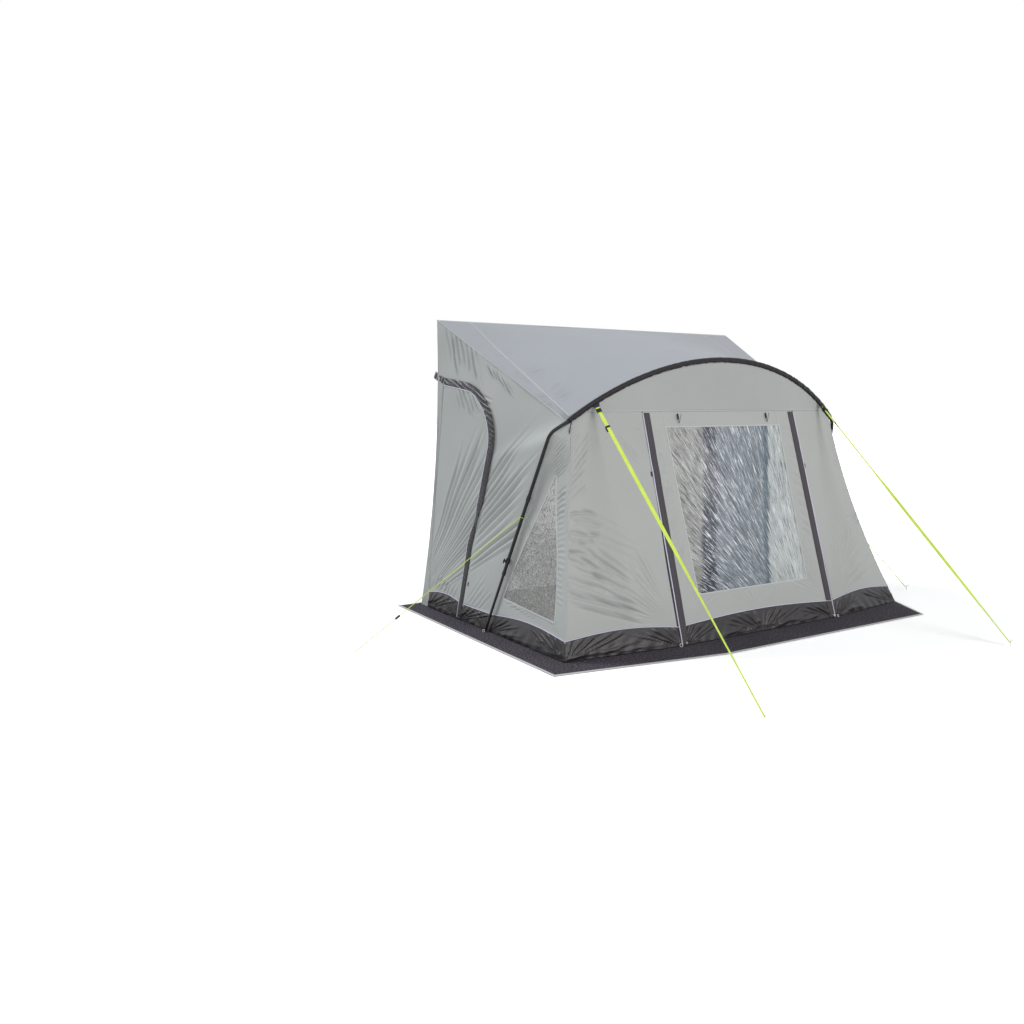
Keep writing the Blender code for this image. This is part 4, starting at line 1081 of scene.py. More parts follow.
def loop_of(points, hole):
    """The points round a window, in order."""
    low_row, high_row, low_column, high_column = hole
    loop = [(low_row, column) for column in range(low_column, high_column)]
    loop += [(row, high_column) for row in range(low_row, high_row)]
    loop += [(high_row, column) for column in range(high_column, low_column, -1)]
    loop += [(row, low_column) for row in range(high_row, low_row, -1)]
    return np.array([points[place_in] for place_in in loop])


def window_welt(name, loop, normals, body, slot, half=0.0048):
    """The sewn band round a window, mitred at its corners."""
    path, lateral, normals = closed_loop(loop, mitred(loop, normals), normals)
    profile = ((-half, 0.0004), (-half * 0.8, 0.0017), (half * 0.8, 0.0017), (half, 0.0004))
    band(name, path, lateral, normals, profile, "welt", body, thickness=0.0008, slot=slot)


def film(name, points, streak_origin, outward, look, body, node, creases):
    """Clear film in a window, crinkled along lines that run to one point."""
    normals = surface_normals(points, outward)
    t = points[:, :, 2]
    s = points[:, :, 0] if outward[0] == 0 else rear_y - points[:, :, 1]
    lift = crease_height(s, t, creases)
    points = points + normals * (cloth_middle - film_set_in + lift * edge_mask(points, 3, 3))[:, :, None]
    run_s, run_t = s - streak_origin[0], t - streak_origin[1]
    cloth(name, points, np.arctan2(run_t, run_s) * 1.5, np.hypot(run_t, run_s), outward, look, body, node,
          thickness=film_thickness)


def make_front_panel():
    rng = np.random.RandomState(31)
    width = 2 * zip_foot_half
    edge = (zip_gap / 2) / width
    low, high = window_foot_height / top_seam_height, window_top_height / top_seam_height
    foot_half, top_half = window_foot_half / width, window_top_half / (2 * zip_top_half)

    def half(rise):
        return foot_half + (top_half - foot_half) * rise

    foot = foot_share(front_point, -1, lambda spot: scallop((spot - edge) / (1 - 2 * edge)) + 0.0003)
    across, up, hole = windowed((30, 80, 30), (30, 160, 18), lambda rise, _: 0.5 - half(rise),
                                lambda rise, _: 0.5 + half(rise), lambda spot: low, high, foot,
                                1 - hinge_gap / top_seam_height, (edge, 1 - edge))
    points = lattice(front_point, -1, across, up)
    normals = surface_normals(points, (0, -1, 0))
    s, t = points[:, :, 0], points[:, :, 2]
    lift = soft_waves(s, t, rng, 5, 0.3, 0.9, 0.003)
    for group in (
            (((-0.775, 1.57), (-0.78, 1.08)), ((-0.60, 1.52), (-0.60, 1.02)), 8, 0.65),
            (((-0.78, 1.06), (-0.79, 0.34)), ((-0.60, 1.16), (-0.59, 0.56)), 12, 0.85),
            (((-0.788, 0.175), (-0.770, 0.160)), ((-0.60, 0.66), (-0.28, 0.30)), 10, 1.00),
            (((0.788, 0.175), (0.770, 0.160)), ((0.60, 0.80), (0.28, 0.30)), 10, 1.00),
            (((0.775, 1.52), (0.785, 0.50)), ((0.61, 1.56), (0.60, 0.62)), 13, 0.55),
            (((-0.06, 0.155), (0.12, 0.155)), ((-0.34, 0.34), (0.40, 0.34)), 12, 0.75)):
        lift += folds(s, t, rng, *group, reach=(0.8, 1.1))
    mask = edge_mask(points, 2, 1.5) * hole_mask(points, hole, 2.5)
    mask *= 0.08 + 0.92 * rising((0.728 - np.abs(s)) / 0.03)
    points = lifted(points, normals, lift * mask)
    cloth("front_panel_cloth", points, s, t, (0, -1, 0), "front", "front_door", "front_panel",
          hole)
    loop = loop_of(points, hole)
    window_welt("front_window_welt", loop, repeated(front_outward(), len(loop)), "front_door", "front_cloth")
    for word, column in (("left", hole[2]), ("right", hole[3])):
        path = points[hole[1]:, column]
        seam_on(f"front_panel_seam_{word}", path, repeated(front_outward(), len(path)), "seam", "front_door")
    lap, rise_lap = window_lap / width, window_lap / top_seam_height
    across, up, _ = windowed((1, 200, 1), (1, 210, 1), lambda rise, _: 0.5 - half(rise) - lap,
                             lambda rise, _: 0.5 + half(rise) + lap, lambda spot: low - rise_lap,
                             high + rise_lap, lambda spot: low - 0.02, 0.99, (0.01, 0.99))
    clear = lattice(front_point, -1, across[1:-1, 1:-1], up[1:-1, 1:-1])
    origin = (0.55, -0.30)
    creases = []
    for _ in range(420):
        spot = (rng.uniform(-0.57, 0.57), rng.uniform(0.34, 1.50))
        run = Vector((origin[0] - spot[0], origin[1] - spot[1])).normalized()
        reach = rng.uniform(0.03, 0.13)
        creases.append(crease_about(spot, (run.x * reach, run.y * reach), rng.uniform(0.003, 0.007),
                                    rng.uniform(0.0005, 0.0026), rng.uniform(-0.8, 0.8)))
    creases += fan(rng, (0.10, 0.20), (-0.35, 0.9), (0.5, 0.8), 30, 0.004, 0.0034)
    film("front_window_film", clear, origin, (0, -1, 0), "front film", "front_door", "front_window", creases)


# Side walls

def side_normal(side, depth, share):
    run = side_point(side, depth + 0.01, share) - side_point(side, depth - 0.01, share)
    rise = side_point(side, depth, min(1, share + 0.01)) - side_point(side, depth, max(0, share - 0.01))
    normal = run.cross(rise).normalized()
    return normal if normal.x * side > 0 else -normal


def side_folds(side, s, t):
    """Shared by the side wall and its door, so that the folds run on across the zip. Reach and height."""
    rng = np.random.RandomState(41 + side)
    lift = np.zeros_like(s)
    for group in (
            (((0.04, 2.42), (0.46, 2.22)), ((0.25, 1.88), (0.67, 1.80)), 7, 1.75, (0.7, 1.1)),
            (((0.60, 2.02), (0.86, 1.88)), ((0.80, 1.80), (1.08, 1.66)), 5, 1.20, (0.5, 0.9)),
            (((0.66, 1.80), (0.70, 1.58)), ((0.84, 1.72), (0.87, 1.53)), 5, 0.90, (0.6, 1.0)),
            (((0.26, 1.84), (0.60, 1.80)), ((0.42, 1.56), (0.76, 1.60)), 6, 1.10, (0.7, 1.1)),
            (((-0.02, 0.12), (0.03, 0.10)), ((0.52, 1.62), (1.20, 1.62)), 7, 0.85, (0.7, 1.0)),
            (((0.02, 0.12), (0.12, 0.06)), ((1.26, 1.70), (1.46, 0.76)), 12, 1.30, (0.85, 1.15)),
            (((0.66, 0.14), (0.88, 0.10)), ((0.96, 0.50), (1.14, 0.34)), 5, 0.45, (0.6, 1.0)),
            (((0.10, 0.15), (0.52, 0.12)), ((0.24, 0.40), (0.66, 0.34)), 8, 0.45, (0.6, 1.0))):
        lift += folds(s, t, rng, *group)
    return lift


def make_side_wall(side, word):
    """The cloth round the door opening, its lines running up from the ground, over the door and down again."""
    hinge, zip_side, outline = door_outline(zip_gap / 2, 56)
    rear_steps, front_steps = 120, 124
    inner = [side_point(side, hinge, share) for share in spaced(0, outline[0][1], rear_steps)[:-1]]
    outer = [rear_edge(side, share) for share in spaced(0, 1, rear_steps)[:-1]]
    inner += [side_point(side, *pair) for pair in outline]
    outer += [side_point(side, share * 0.9997, 0.9998) for share in spaced(0, 1, len(outline) - 1)]
    for depth, start, line in ((zip_side, door_shoulder_share, inner), (0.9997, 0.9998, outer)):
        high = side_point(side, depth, start).z
        line += [at_height(side_point, side, depth, height)
                 for height in spaced(high, mud_height + 0.0003, front_steps)[1:]]
    points = settled(refined(on_lines(inner, outer, 26), 2), 120)
    normals = surface_normals(points, (side, 0, 0))
    s, t = rear_y - points[:, :, 1], points[:, :, 2]
    waves = soft_waves(s, t, np.random.RandomState(43 + side), 6, 0.4, 1.2, 0.009)
    row = np.arange(len(points))[:, None]
    lift = (side_folds(side, s, t) + waves) * edge_mask(points, 1e-6, 2.0) * rising((len(points) - 1 - row) / 2.5)
    points = lifted(points, normals, lift * (rising(row / 7.0) * 0.75 + 0.25))
    cloth(f"side_wall_cloth_{word}", points, s, t, (side, 0, 0), "side", "shell", f"side_wall_{word}")


def make_side_door(side, word):
    hinge, zip_side, outline = door_outline(-hinge_gap, 120)
    columns, rows = len(outline), 230
    points = np.empty((rows + 1, columns, 3))
    for column, pair in enumerate(outline):
        inside = column / (columns - 1)
        foot = at_height(side_point, side, hinge + (zip_side - hinge) * inside, scallop(inside) + 0.0003)
        low, high = np.array(foot), np.array(side_point(side, *pair))
        points[:, column] = low + (high - low) * np.linspace(0, 1, rows + 1)[:, None]
    normals = surface_normals(points, (side, 0, 0))
    s, t = rear_y - points[:, :, 1], points[:, :, 2]
    rng = np.random.RandomState(45 + side)
    row, column = np.arange(rows + 1)[:, None], np.arange(columns)[None, :]
    mask = rising(row / 3.0) * rising(column / 4.0)
    mask = mask * (0.25 + 0.75 * rising((rows - row) / 8.0) * rising((columns - 1 - column) / 14.0))
    lift = side_folds(side, s, t) + soft_waves(s, t, rng, 5, 0.4, 1.1, 0.008)
    points = lifted(points, normals, lift * mask)
    cloth(f"side_door_cloth_{word}", points, s, t, (side, 0, 0), "side", f"door_{word}", f"side_door_{word}")


def make_gusset(side, word):
    """The cloth between leg and corner, with its window, and a patch behind the shoulder where three cloths
    meet."""
    top = [gusset_point(side, across, 0.9995) for across in spaced(-0.25, 1.1, 10)]
    seam_on(f"corner_patch_{word}", top, repeated(np.array((side, -0.3, 0)) / 1.044, len(top)), "side",
            profile=((-0.016, -0.0012), (0.016, -0.0012)))
    rng = np.random.RandomState(51 + side)
    (rear_foot, rear_low), (front_foot, front_low) = side_window_foot
    (rear_tip, tip), (front_tip, _) = side_window_tip

    def low(spot):
        return rear_low + (front_low - rear_low) * (spot - rear_foot) / (front_foot - rear_foot)

    def left(rise, over):
        return rear_foot + (rear_tip - rear_foot) * rise - side_window_bow * math.sin(math.pi * rise) - 0.06 * over

    def right(rise, over):
        bow = side_window_bow * math.sin(math.pi * rise)
        return front_foot + (front_tip - front_foot) * rise + bow - 0.02 * over

    foot = foot_share(gusset_point, side, lambda spot: scallop(spot) + 0.0008)
    across, up, hole = windowed((34, 44, 26), (16, 100, 60), left, right, low, tip, foot, 0.998, (0.0003, 0.9997))
    points = lattice(gusset_point, side, across, up)
    outward = (side, -0.3, 0)
    normals = surface_normals(points, outward)
    s, t = rear_y - points[:, :, 1], points[:, :, 2]
    lift = soft_waves(s, t, rng, 5, 0.3, 0.8, 0.003)
    for group in (
            (((1.640, 1.22), (1.575, 1.50)), ((1.545, 1.10), (1.515, 1.38)), 9, 0.95),
            (((1.925, 0.30), (1.665, 1.18)), ((1.80, 0.34), (1.59, 1.10)), 22, 0.85),
            (((1.985, 0.150), (1.965, 0.140)), ((1.12, 0.26), (1.74, 0.30)), 11, 1.05)):
        lift += folds(s, t, rng, *group, reach=(0.8, 1.15))
    mask = edge_mask(points, 2, 1.5) * hole_mask(points, hole, 2.5)
    points = lifted(points, normals, lift * mask)
    cloth(f"side_gusset_cloth_{word}", points, s, t, outward, "side", "shell", f"side_gusset_{word}",
          hole)
    window_welt(f"side_window_welt_{word}", loop_of(points, hole), loop_of(normals, hole), "shell", "side_cloth")
    across, up, _ = windowed((1, 70, 1), (1, 100, 1), lambda rise, _: left(rise, 0) - side_window_lap,
                             lambda rise, _: right(rise, 0) + side_window_lap, lambda spot: low(spot) - 0.003,
                             tip + 0.003, lambda spot: 0.1, 0.8, (0.01, 0.99))
    clear = lattice(gusset_point, side, across[1:-1, 1:-1], up[1:-1, 1:-1])
    creases = drawn(rng, (1.15, 0.22), (1.95, 1.05), (0.55, 1), 130, 0.14, 0.007, 0.0036, spread=0.8)
    creases += fan(rng, (2.0, 0.15), (1.15, 0.35), (1.75, 0.9), 14, 0.008, 0.0030)
    film(f"side_window_film_{word}", clear, (2.4, -0.5), outward, "side film", "shell", f"side_window_{word}",
         creases)


# Mud walls with the piping above them

def mud_fold(distance, length, share):
    """Where the foot of a mud wall stands out between two pegs."""
    edge = min(distance, length - distance)
    taper = min(1.0, max(0.0, (edge - 0.05) / 0.09))
    fan_out = math.sin(math.pi * distance / length) * (1 - share)
    wave = 0.5 - 0.5 * math.cos(full_turn * (distance / 0.11 + fan_out))
    return 0.005 * taper * wave * math.cos(math.pi / 2 * min(1.0, share / 0.9)) ** 2


def make_mud(name, edge_pair, pegged, outward, body, node, seed, piping):
    """A loose mud wall between its pegs, gathered into folds at each, and the piping along its upper edge."""
    rng = np.random.RandomState(seed)
    lines, start_at, pegs_at = [], 0.0, [0.0]
    for start, finish in zip(pegged, pegged[1:]):
        length = (edge_pair(finish - 0.00005)[1] - edge_pair(start)[1]).length
        columns = max(4, round(length / 0.008))
        for column in range(columns):
            pair = edge_pair(start + (finish - start) * column / columns)
            lines.append((*pair, start_at, length * column / columns, length))
        start_at += length
        pegs_at.append(start_at)
    lines.append((*edge_pair(1), start_at, 0, 1))
    rows = 20
    points = np.empty((rows + 1, len(lines), 3))
    normals = np.empty_like(points)
    s, t, loose = (np.empty(points.shape[:2]) for _ in range(3))
    for column, (upper, foot, normal, before, distance, length) in enumerate(lines):
        normals[:, column] = normal.normalized()
        s[:, column] = before + distance
        for row, share in enumerate(spaced(0, 1, rows)):
            points[row, column] = foot.lerp(upper, share)
            t[row, column] = (upper - foot).length * share
            loose[row, column] = mud_fold(distance, length, share)
    creases = drawn(rng, (0, 0.02), (start_at, 0.08), (1, 0.08), int(start_at * 12), 0.34, 0.011, 0.0065,
                    spread=0.16)
    gathered = np.zeros_like(s)
    for peg in pegs_at:
        for way in (-1, 1):
            gathered += folds(s, t, rng, ((peg + way * 0.004, 0.004), (peg + way * 0.02, 0.0)),
                              ((peg + way * 0.03, 0.19), (peg + way * 0.52, 0.13)), 5, 3.2, (0.75, 1.15))
    up = np.linspace(0, 1, rows + 1)[:, None]
    ends = np.minimum(np.arange(len(lines)), np.arange(len(lines))[::-1])[None, :]
    mask = rising((1 - up) / 0.14) * rising(ends / 1.5) * (0.25 + 0.75 * rising(up / 0.2))
    lift = (crease_height(s, t, creases) + gathered) * mask + loose * rising(ends / 2.0)
    points = lifted(points, normals, np.maximum(lift, -0.002))
    cloth(name, points, s, t, outward, "mud", body, node)
    tube(piping, points[-1] + normals[-1] * 0.0022, 0.0026, "piping", body)


def make_mud_walls():
    edge = (zip_gap / 2) / (2 * zip_foot_half)

    def front_pair(across):
        inside = edge + (1 - 2 * edge) * across
        upper = at_height(front_point, -1, inside, scallop(across))
        return upper, front_point(-1, inside, 0), front_outward()

    make_mud("front_mud_cloth", front_pair, (0, 0.5, 1), (0, -1, 0), "front_door", "front_mud_flap", 61,
             "front_flap_piping")
    for side, word in sides:
        end = 1 - zip_gap / 2 / (corner_foot_half(side) - zip_foot_half)
        zip_side = door_outline(zip_gap / 2, 8)[1]
        hinge, door_zip, _ = door_outline(-hinge_gap, 8)

        def wall_pair(across):
            if across < mud_leg_share:
                depth = zip_side + (1 - zip_side) * across / mud_leg_share
                upper = at_height(side_point, side, depth, mud_height)
                return upper, side_point(side, depth, 0), Vector((side, 0, 0))
            if across < mud_corner_share:
                inside = (across - mud_leg_share) / (mud_corner_share - mud_leg_share)
                upper = at_height(gusset_point, side, inside, scallop(inside))
                return upper, gusset_point(side, inside, 0), Vector((side, -inside / 2, 0))
            inside = (across - mud_corner_share) / (1 - mud_corner_share)
            upper = at_height(corner_point, side, inside * end, scallop(inside))
            return upper, corner_point(side, inside * end, 0), Vector((0, -1, 0))

        def door_pair(across):
            depth = hinge + (door_zip - hinge) * across
            upper = at_height(side_point, side, depth, scallop(across))
            return upper, side_point(side, depth, 0), Vector((side, 0, 0))

        make_mud(f"mud_wall_cloth_{word}", wall_pair, (0, mud_leg_share, mud_corner_share, 1), (side, -1, 0),
                 "shell", f"mud_wall_{word}", 62 + side, f"wall_piping_{word}")
        make_mud(f"door_mud_cloth_{word}", door_pair, (0, 1), (side, 0, 0), f"door_{word}",
                 f"door_mud_flap_{word}", 66 + side, f"door_piping_{word}")


# Zip covers and corner seams

def make_front_cover(side, word):
    """The dark flap over a front zip, piped along its outer edge, its square end below the top seam."""
    path = np.array([front_point(side, 0, share) for share in spaced(0.002, 1 - 0.012 / top_seam_height, 150)])
    inward = np.array(front_point(side, 0.1, 0.5) - front_point(side, 0, 0.5))
    inward /= np.linalg.norm(inward)
    lateral, normals = repeated(inward, len(path)), repeated(front_outward(), len(path))
    rng = np.random.RandomState(71 + side)
    run = np.linspace(0, 1.7, len(path))
    wave = sum(np.sin(run * rng.uniform(6, 34) + rng.uniform(0, 6)) for _ in range(6)) * 0.00035
    path = path + normals * wave[:, None]
    profile = ((-0.006, 0.0040), (-0.004, 0.0052), (0.004, 0.0058), (0.022, 0.0066), (0.042, 0.0062),
               (0.053, 0.0052), (0.055, 0.0036))
    item, points = band(f"front_zip_cover_cloth_{word}", path, lateral, normals, profile, "cover", "front_door",
                        thickness=0.0010, node=f"front_zip_cover_{word}")
    width, length, _ = cut_size(points)
    edge = path + lateral * -0.0088 + normals * 0.0052
    tube(f"front_zip_piping_{word}", edge, 0.0042, "piping", "front_door")


def make_side_cover(side, word):
    """The ruched black ribbon over a side zip, wide over the round top and drawn in towards the ground."""
    rng = np.random.RandomState(75 + side)
    body = f"door_{word}"
    _, zip_side, outline = door_outline(0, 90)
    shares = outline[1:] + [(zip_side, share) for share in spaced(door_shoulder_share, 0.003, 190)[1:]]
    path = np.array([side_point(side, *pair) for pair in shares])
    normals = np.array([side_normal(side, *pair) for pair in shares])
    run = np.concatenate([[0], np.cumsum(np.linalg.norm(np.diff(path, axis=0), axis=1))])
    even = np.arange(0, run[-1], 0.0040)
    path, normals = (np.stack([np.interp(even, run, values[:, k]) for k in range(3)], axis=1)
                     for values in (path, normals))
    for _ in range(60):
        path[1:-1] = path[1:-1] / 2 + (path[:-2] + path[2:]) / 4
    lateral = side_vectors(path, normals)
    if lateral[len(even) // 2, 1] > 0:
        lateral = -lateral
    low_down = rising((0.95 - path[:, 2]) / 0.16)
    twist = np.exp(-((path[:, 2] - 0.80) / 0.07) ** 2)
    run = np.gradient(path, axis=0)
    steep = (run[:, 2] / np.linalg.norm(run, axis=1)) ** 2
    width = 0.5 * (0.062 + 0.012 * steep) * (1 - 0.18 * low_down) * (1 - 0.60 * twist)
    hang = np.interp(path[:, 2], (0.0, 0.18, 0.60, 0.84, 0.95, 1.5, 1.75),
                     (0, -0.010, -0.034, -0.006, 0.004, 0.006, 0))
    columns = 19
    points = np.empty((columns, len(even), 3))
    pattern = np.empty((columns, len(even), 2))
    wander = 0.004 * np.sin(np.cumsum(rng.uniform(0.2, 1.8, len(even))) * 0.10)
    swell = 0.60 + 0.40 * np.sin(np.cumsum(rng.uniform(0.5, 1.5, len(even))) * 0.08)
    for column, across in enumerate(np.linspace(-1, 1, columns)):
        flat = path + lateral * (width * across + hang)[:, None]
        # The ruffles' phase; the ribbon's finish paints its highlights on their crests from it.
        stripe = flat[:, 2] + (rear_y - flat[:, 1]) * 0.48 + wander
        phase = stripe * full_turn / ruffle_spacing
        crown = 0.0032 * (1 - across ** 2)
        ruffle = 0.0022 * np.sin(phase) * swell * (0.45 + 0.55 * (1 - across ** 2))
        small = 0.0010 * np.sin(phase * 2.3 + across * 2.4 + 1.1)
        height = 0.0056 + crown + ruffle + small + 0.009 * twist * (1 + across)
        points[column] = flat + normals * height[:, None]
        pattern[column, :, 0] = stripe
        pattern[column, :, 1] = across * 0.032
    item = grid_piece(f"side_zip_cover_cloth_{word}", points, pattern, normals.mean(axis=0), "ruche", body, 0.0010,
                      f"side_zip_cover_{word}")
    length, width, area = cut_size(points)
    tube(f"side_zip_piping_{word}", points[0] + normals * 0.0004, 0.0034, "piping", body)
    seam_on(f"side_zip_tape_{word}", path[::3], normals[::3], "tape", profile=tape_profile)
    ends = np.array([side_point(side, depth, door_top_rear_share)
                     for depth in spaced(0.012, door_hinge_share - 0.004, 14)])
    normal = repeated(normals[0], len(ends))
    band(f"side_zip_cover_end_{word}", ends, side_vectors(ends, normal), normal,
         ((-0.030, 0.0040), (-0.015, 0.0075), (0, 0.0058), (0.015, 0.0078), (0.030, 0.0040)), "ruche")
    foot, down = side_point(side, zip_side + 0.012, 0.075), Vector((side * 0.006, 0, 0))
    loop = [foot + down + Vector((0, 0.016 * math.sin(turn), -0.062 * (1 - math.cos(turn)) / 2 - 0.02))
            for turn in spaced(0, full_turn, 24)[:-1]]
    tube(f"side_zip_pull_cord_{word}", loop, 0.0022, "piping", closed=True)


def make_seams(side, word):
    """The welted seam down the front corner, the one beside the leg, and the tape behind the door's hinge."""
    path = np.array([corner_seam(side, share) for share in spaced(0.075, 0.965, 150)])
    normals = repeated(Vector((side * 0.78, -0.62, 0.1)).normalized(), len(path))
    rng = np.random.RandomState(81 + side)
    pucker = np.array([0.0007 * math.sin(index * 1.15 + rng.uniform(-0.5, 0.5)) for index in range(len(path))])
    seam_on(f"corner_seam_{word}", path + normals * (0.0012 + pucker)[:, None], normals, "front",
            profile=((-0.005, -0.002), (-0.0025, 0.0016), (0, 0.0026), (0.0025, 0.0016), (0.005, -0.002)))
    path = np.array([leg_line(side, share) for share in spaced(0.09, 0.985, 150)])
    normals = repeated((side * 1.0, 0, 0.1), len(path))
    seam_on(f"leg_seam_{word}", path + normals * 0.0012, normals, "side",
            profile=((-0.004, 0.0004), (-0.003, 0.0011), (0.003, 0.0011), (0.004, 0.0004)))
    shares = spaced(0.066, door_top_rear_share + 0.012, 60)
    path, normals = ([point_of(side, door_hinge_share, share) for share in shares]
                     for point_of in (side_point, side_normal))
    seam_on(f"door_hinge_tape_{word}", path, np.array(normals), "side", profile=tape_profile)


# Sleeve, straps, guys and small fittings

def make_sleeve():
    """The black cloth sleeve round the arched pole, loose enough to wrinkle."""
    rng = np.random.RandomState(91)
    limit = math.asin(arch_end_half / arch_radius)
    count, around = 330, 26
    path = np.array([arch_point(arch_radius * math.sin(turn)) for turn in np.linspace(-limit, limit, count + 1)])
    run = unit_rows(np.gradient(path, axis=0))
    forward = repeated((0, -1.0, 0), count + 1)
    forward -= run * (forward * run).sum(axis=1, keepdims=True)
    forward = unit_rows(forward)
    upward = np.cross(forward, run)
    if upward[count // 2, 2] < 0:
        upward = -upward
    length = np.linspace(0, sleeve_length, count + 1)
    points = np.empty((around + 1, count + 1, 3))
    waves = [(rng.uniform(20, 150), rng.uniform(0, 6.3), round(rng.uniform(-2.4, 2.4)), rng.uniform(0.3, 1.0))
             for _ in range(16)]
    slack = 0.0195 + 0.0012 * rising((length - 2.2) / 0.8)
    looseness = 0.45 + 0.55 * rising((length - 1.9) / 1.0)
    squeeze = 1 - 0.08 * np.exp(-(np.minimum(length, sleeve_length - length) / 0.035) ** 2)
    for index in range(around + 1):
        turn = full_turn * index / around
        wrinkle = sum(size * np.sin(length * rate + phase + twist * turn) for rate, phase, twist, size in waves)
        radius = (slack + 0.0006 * wrinkle * looseness) * squeeze
        points[index] = path + (forward * math.cos(turn) + upward * math.sin(turn)) * radius[:, None]
    points[around] = points[0]
    pattern = np.empty((around + 1, count + 1, 2))
    pattern[:, :, 0] = length[None]
    pattern[:, :, 1] = np.linspace(0, sleeve_girth, around + 1)[:, None]
    mesh = grid_mesh("pole_sleeve_cloth", points, pattern, (0, 0, 1))
    bm = bmesh.new()
    bm.from_mesh(mesh)
    bmesh.ops.remove_doubles(bm, verts=bm.verts, dist=0.00005)
    bmesh.ops.recalc_face_normals(bm, faces=bm.faces)
    bm.to_mesh(mesh)
    bm.free()
    mesh.shade_smooth()
    item = thicken(show("pole_sleeve_cloth", mesh, "sleeve", "shell", "pole_sleeve"), 0.0010, -1.0)


def leg_foot(side):
    return hoop_point(side * hoop_foot_half, 0)


def leg_axis(side):
    return (elbow_point(side) - leg_foot(side)).normalized()


def leg_point(side, height):
    foot, elbow = leg_foot(side), elbow_point(side)
    return foot.lerp(elbow, height / elbow.z)


def bar(name, middle, axes, size, look, body="shell"):
    """A small flat block, its three sizes along its own three axes."""
    bm = bmesh.new()
    bmesh.ops.create_cube(bm, size=1)
    bmesh.ops.bevel(bm, geom=bm.edges[:], offset=0.08, segments=2, affect="EDGES")
    turn = Matrix(axes).transposed() @ Matrix.Diagonal(size)
    bmesh.ops.transform(bm, matrix=Matrix.Translation(middle) @ turn.to_4x4(), verts=bm.verts)
    bmesh.ops.recalc_face_normals(bm, faces=bm.faces)
    mesh = mesh_from(name, bm)
    mesh.shade_smooth()
    mesh.set_sharp_from_angle(angle=0.6)
    return show(name, mesh, look, body)


def ring(name, middle, normal, radius, thickness, look, body="shell"):
    axis = Vector(normal).normalized()
    first = axis.orthogonal().normalized()
    second = axis.cross(first)
    path = [middle + first * math.cos(turn) * radius + second * math.sin(turn) * radius
            for turn in spaced(0, full_turn, 28)[:-1]]
    return tube(name, path, thickness, look, body, closed=True)


def strap_turn(index, share):
    """How far a strap is twisted: the left one slowly, the right one early and then back."""
    if index == 0:
        return -0.94 * rising((share - 0.30) / 0.5)
    twisted = 0.38 * rising(share / 0.03) + 0.62 * rising((share - 0.28) / 0.16)
    return twisted * (1 - 0.75 * rising((share - 0.66) / 0.3))


def make_strap(index, side, word):
    """A storm strap, pulled tight from its tab on the sleeve to its peg, with a lazy half twist in it."""
    peg_across, peg_reach = strap_peg_places[index]
    start, end = arch_point(side * strap_arch_half), place(peg_across, peg_reach, peg_height / 2)
    run = (end - start).normalized()
    sleeve_line = (arch_point(start.x + strap_width) - arch_point(start.x - strap_width)).normalized()
    across = (sleeve_line - run * sleeve_line.dot(run)).normalized()
    face = run.cross(across)
    tab_start = start + run * (sleeve_radius + 0.0008) / sleeve_line.cross(run).length
    tab_end = tab_start + run * tab_length
    strap_start = tab_end + run * seat_gap
    length = (end - strap_start).length - 0.0015
    rows, columns = 240, 7
    centre = [strap_start + run * length * share for share in spaced(0, 1, rows)]
    points = np.empty((columns, rows + 1, 3))
    for row, middle in enumerate(centre):
        turn = strap_turn(index, row / rows)
        side_way = across * math.cos(turn) + face * math.sin(turn)
        square = run.cross(side_way)
        for column, place_across in enumerate(np.linspace(-1, 1, columns)):
            cup = 0.0004 * place_across ** 2
            points[column, row] = middle + side_way * place_across * strap_width / 2 + square * cup
    pattern = np.empty((columns, rows + 1, 2))
    pattern[:, :, 0] = np.linspace(0, length, rows + 1)[None]
    pattern[:, :, 1] = np.linspace(0, strap_width, columns)[:, None]
    item = grid_piece(f"storm_strap_webbing_{word}", points, pattern, face, "webbing", "shell", 0.0014,
                      f"storm_strap_{word}")
    tab = np.stack([[start.lerp(tab_end, up) + across * wide * (0.036 - 0.021 * up) for up in spaced(0.2, 1, 8)]
                    for wide in spaced(-1, 1, 6)])
    grid_piece(f"strap_tab_cloth_{word}", tab, tab[:, :, :2], face, "tab", "shell", 0.0026, f"strap_tab_{word}")
    axes, buckle = (across, run, face), f"strap_buckle_{word}"
    bar(f"strap_loop_{word}", tab_end, axes, (0.028, 0.012, 0.005), "webbing")
    keeper = bar(f"strap_keeper_{word}", strap_start + run * (buckle_distance + 0.105), axes,
                 (0.034, 0.016, 0.008), "plastic", buckle)
    tail = bar(f"strap_tail_{word}", strap_start + run * (buckle_distance + 0.130) - across * 0.016, axes,
               (0.012, 0.042, 0.003), "tab", buckle)
    [tuple(point) for point in centre[::6]]


def make_guy(index, side, word):
    """A guy line from the band on the leg to its peg."""
    end = place(*guy_peg_places[index], peg_height / 2)
    middle = leg_point(side, guy_band_height)
    away = (end - middle) - leg_axis(side) * (end - middle).dot(leg_axis(side))
    tilt = away.angle(end - middle)
    start = middle + away.normalized() * (guy_band_radius + guy_radius * math.sin(tilt) + seat_gap)
    last = end - (end - start).normalized() * (guy_radius + seat_gap)
    path = [start.lerp(last, share) for share in spaced(0, 1, 24)]
    item = tube(f"guy_line_cord_{word}", path, guy_line_half, "line", node=f"guy_line_{word}", resolution=2)
    (last - start).length


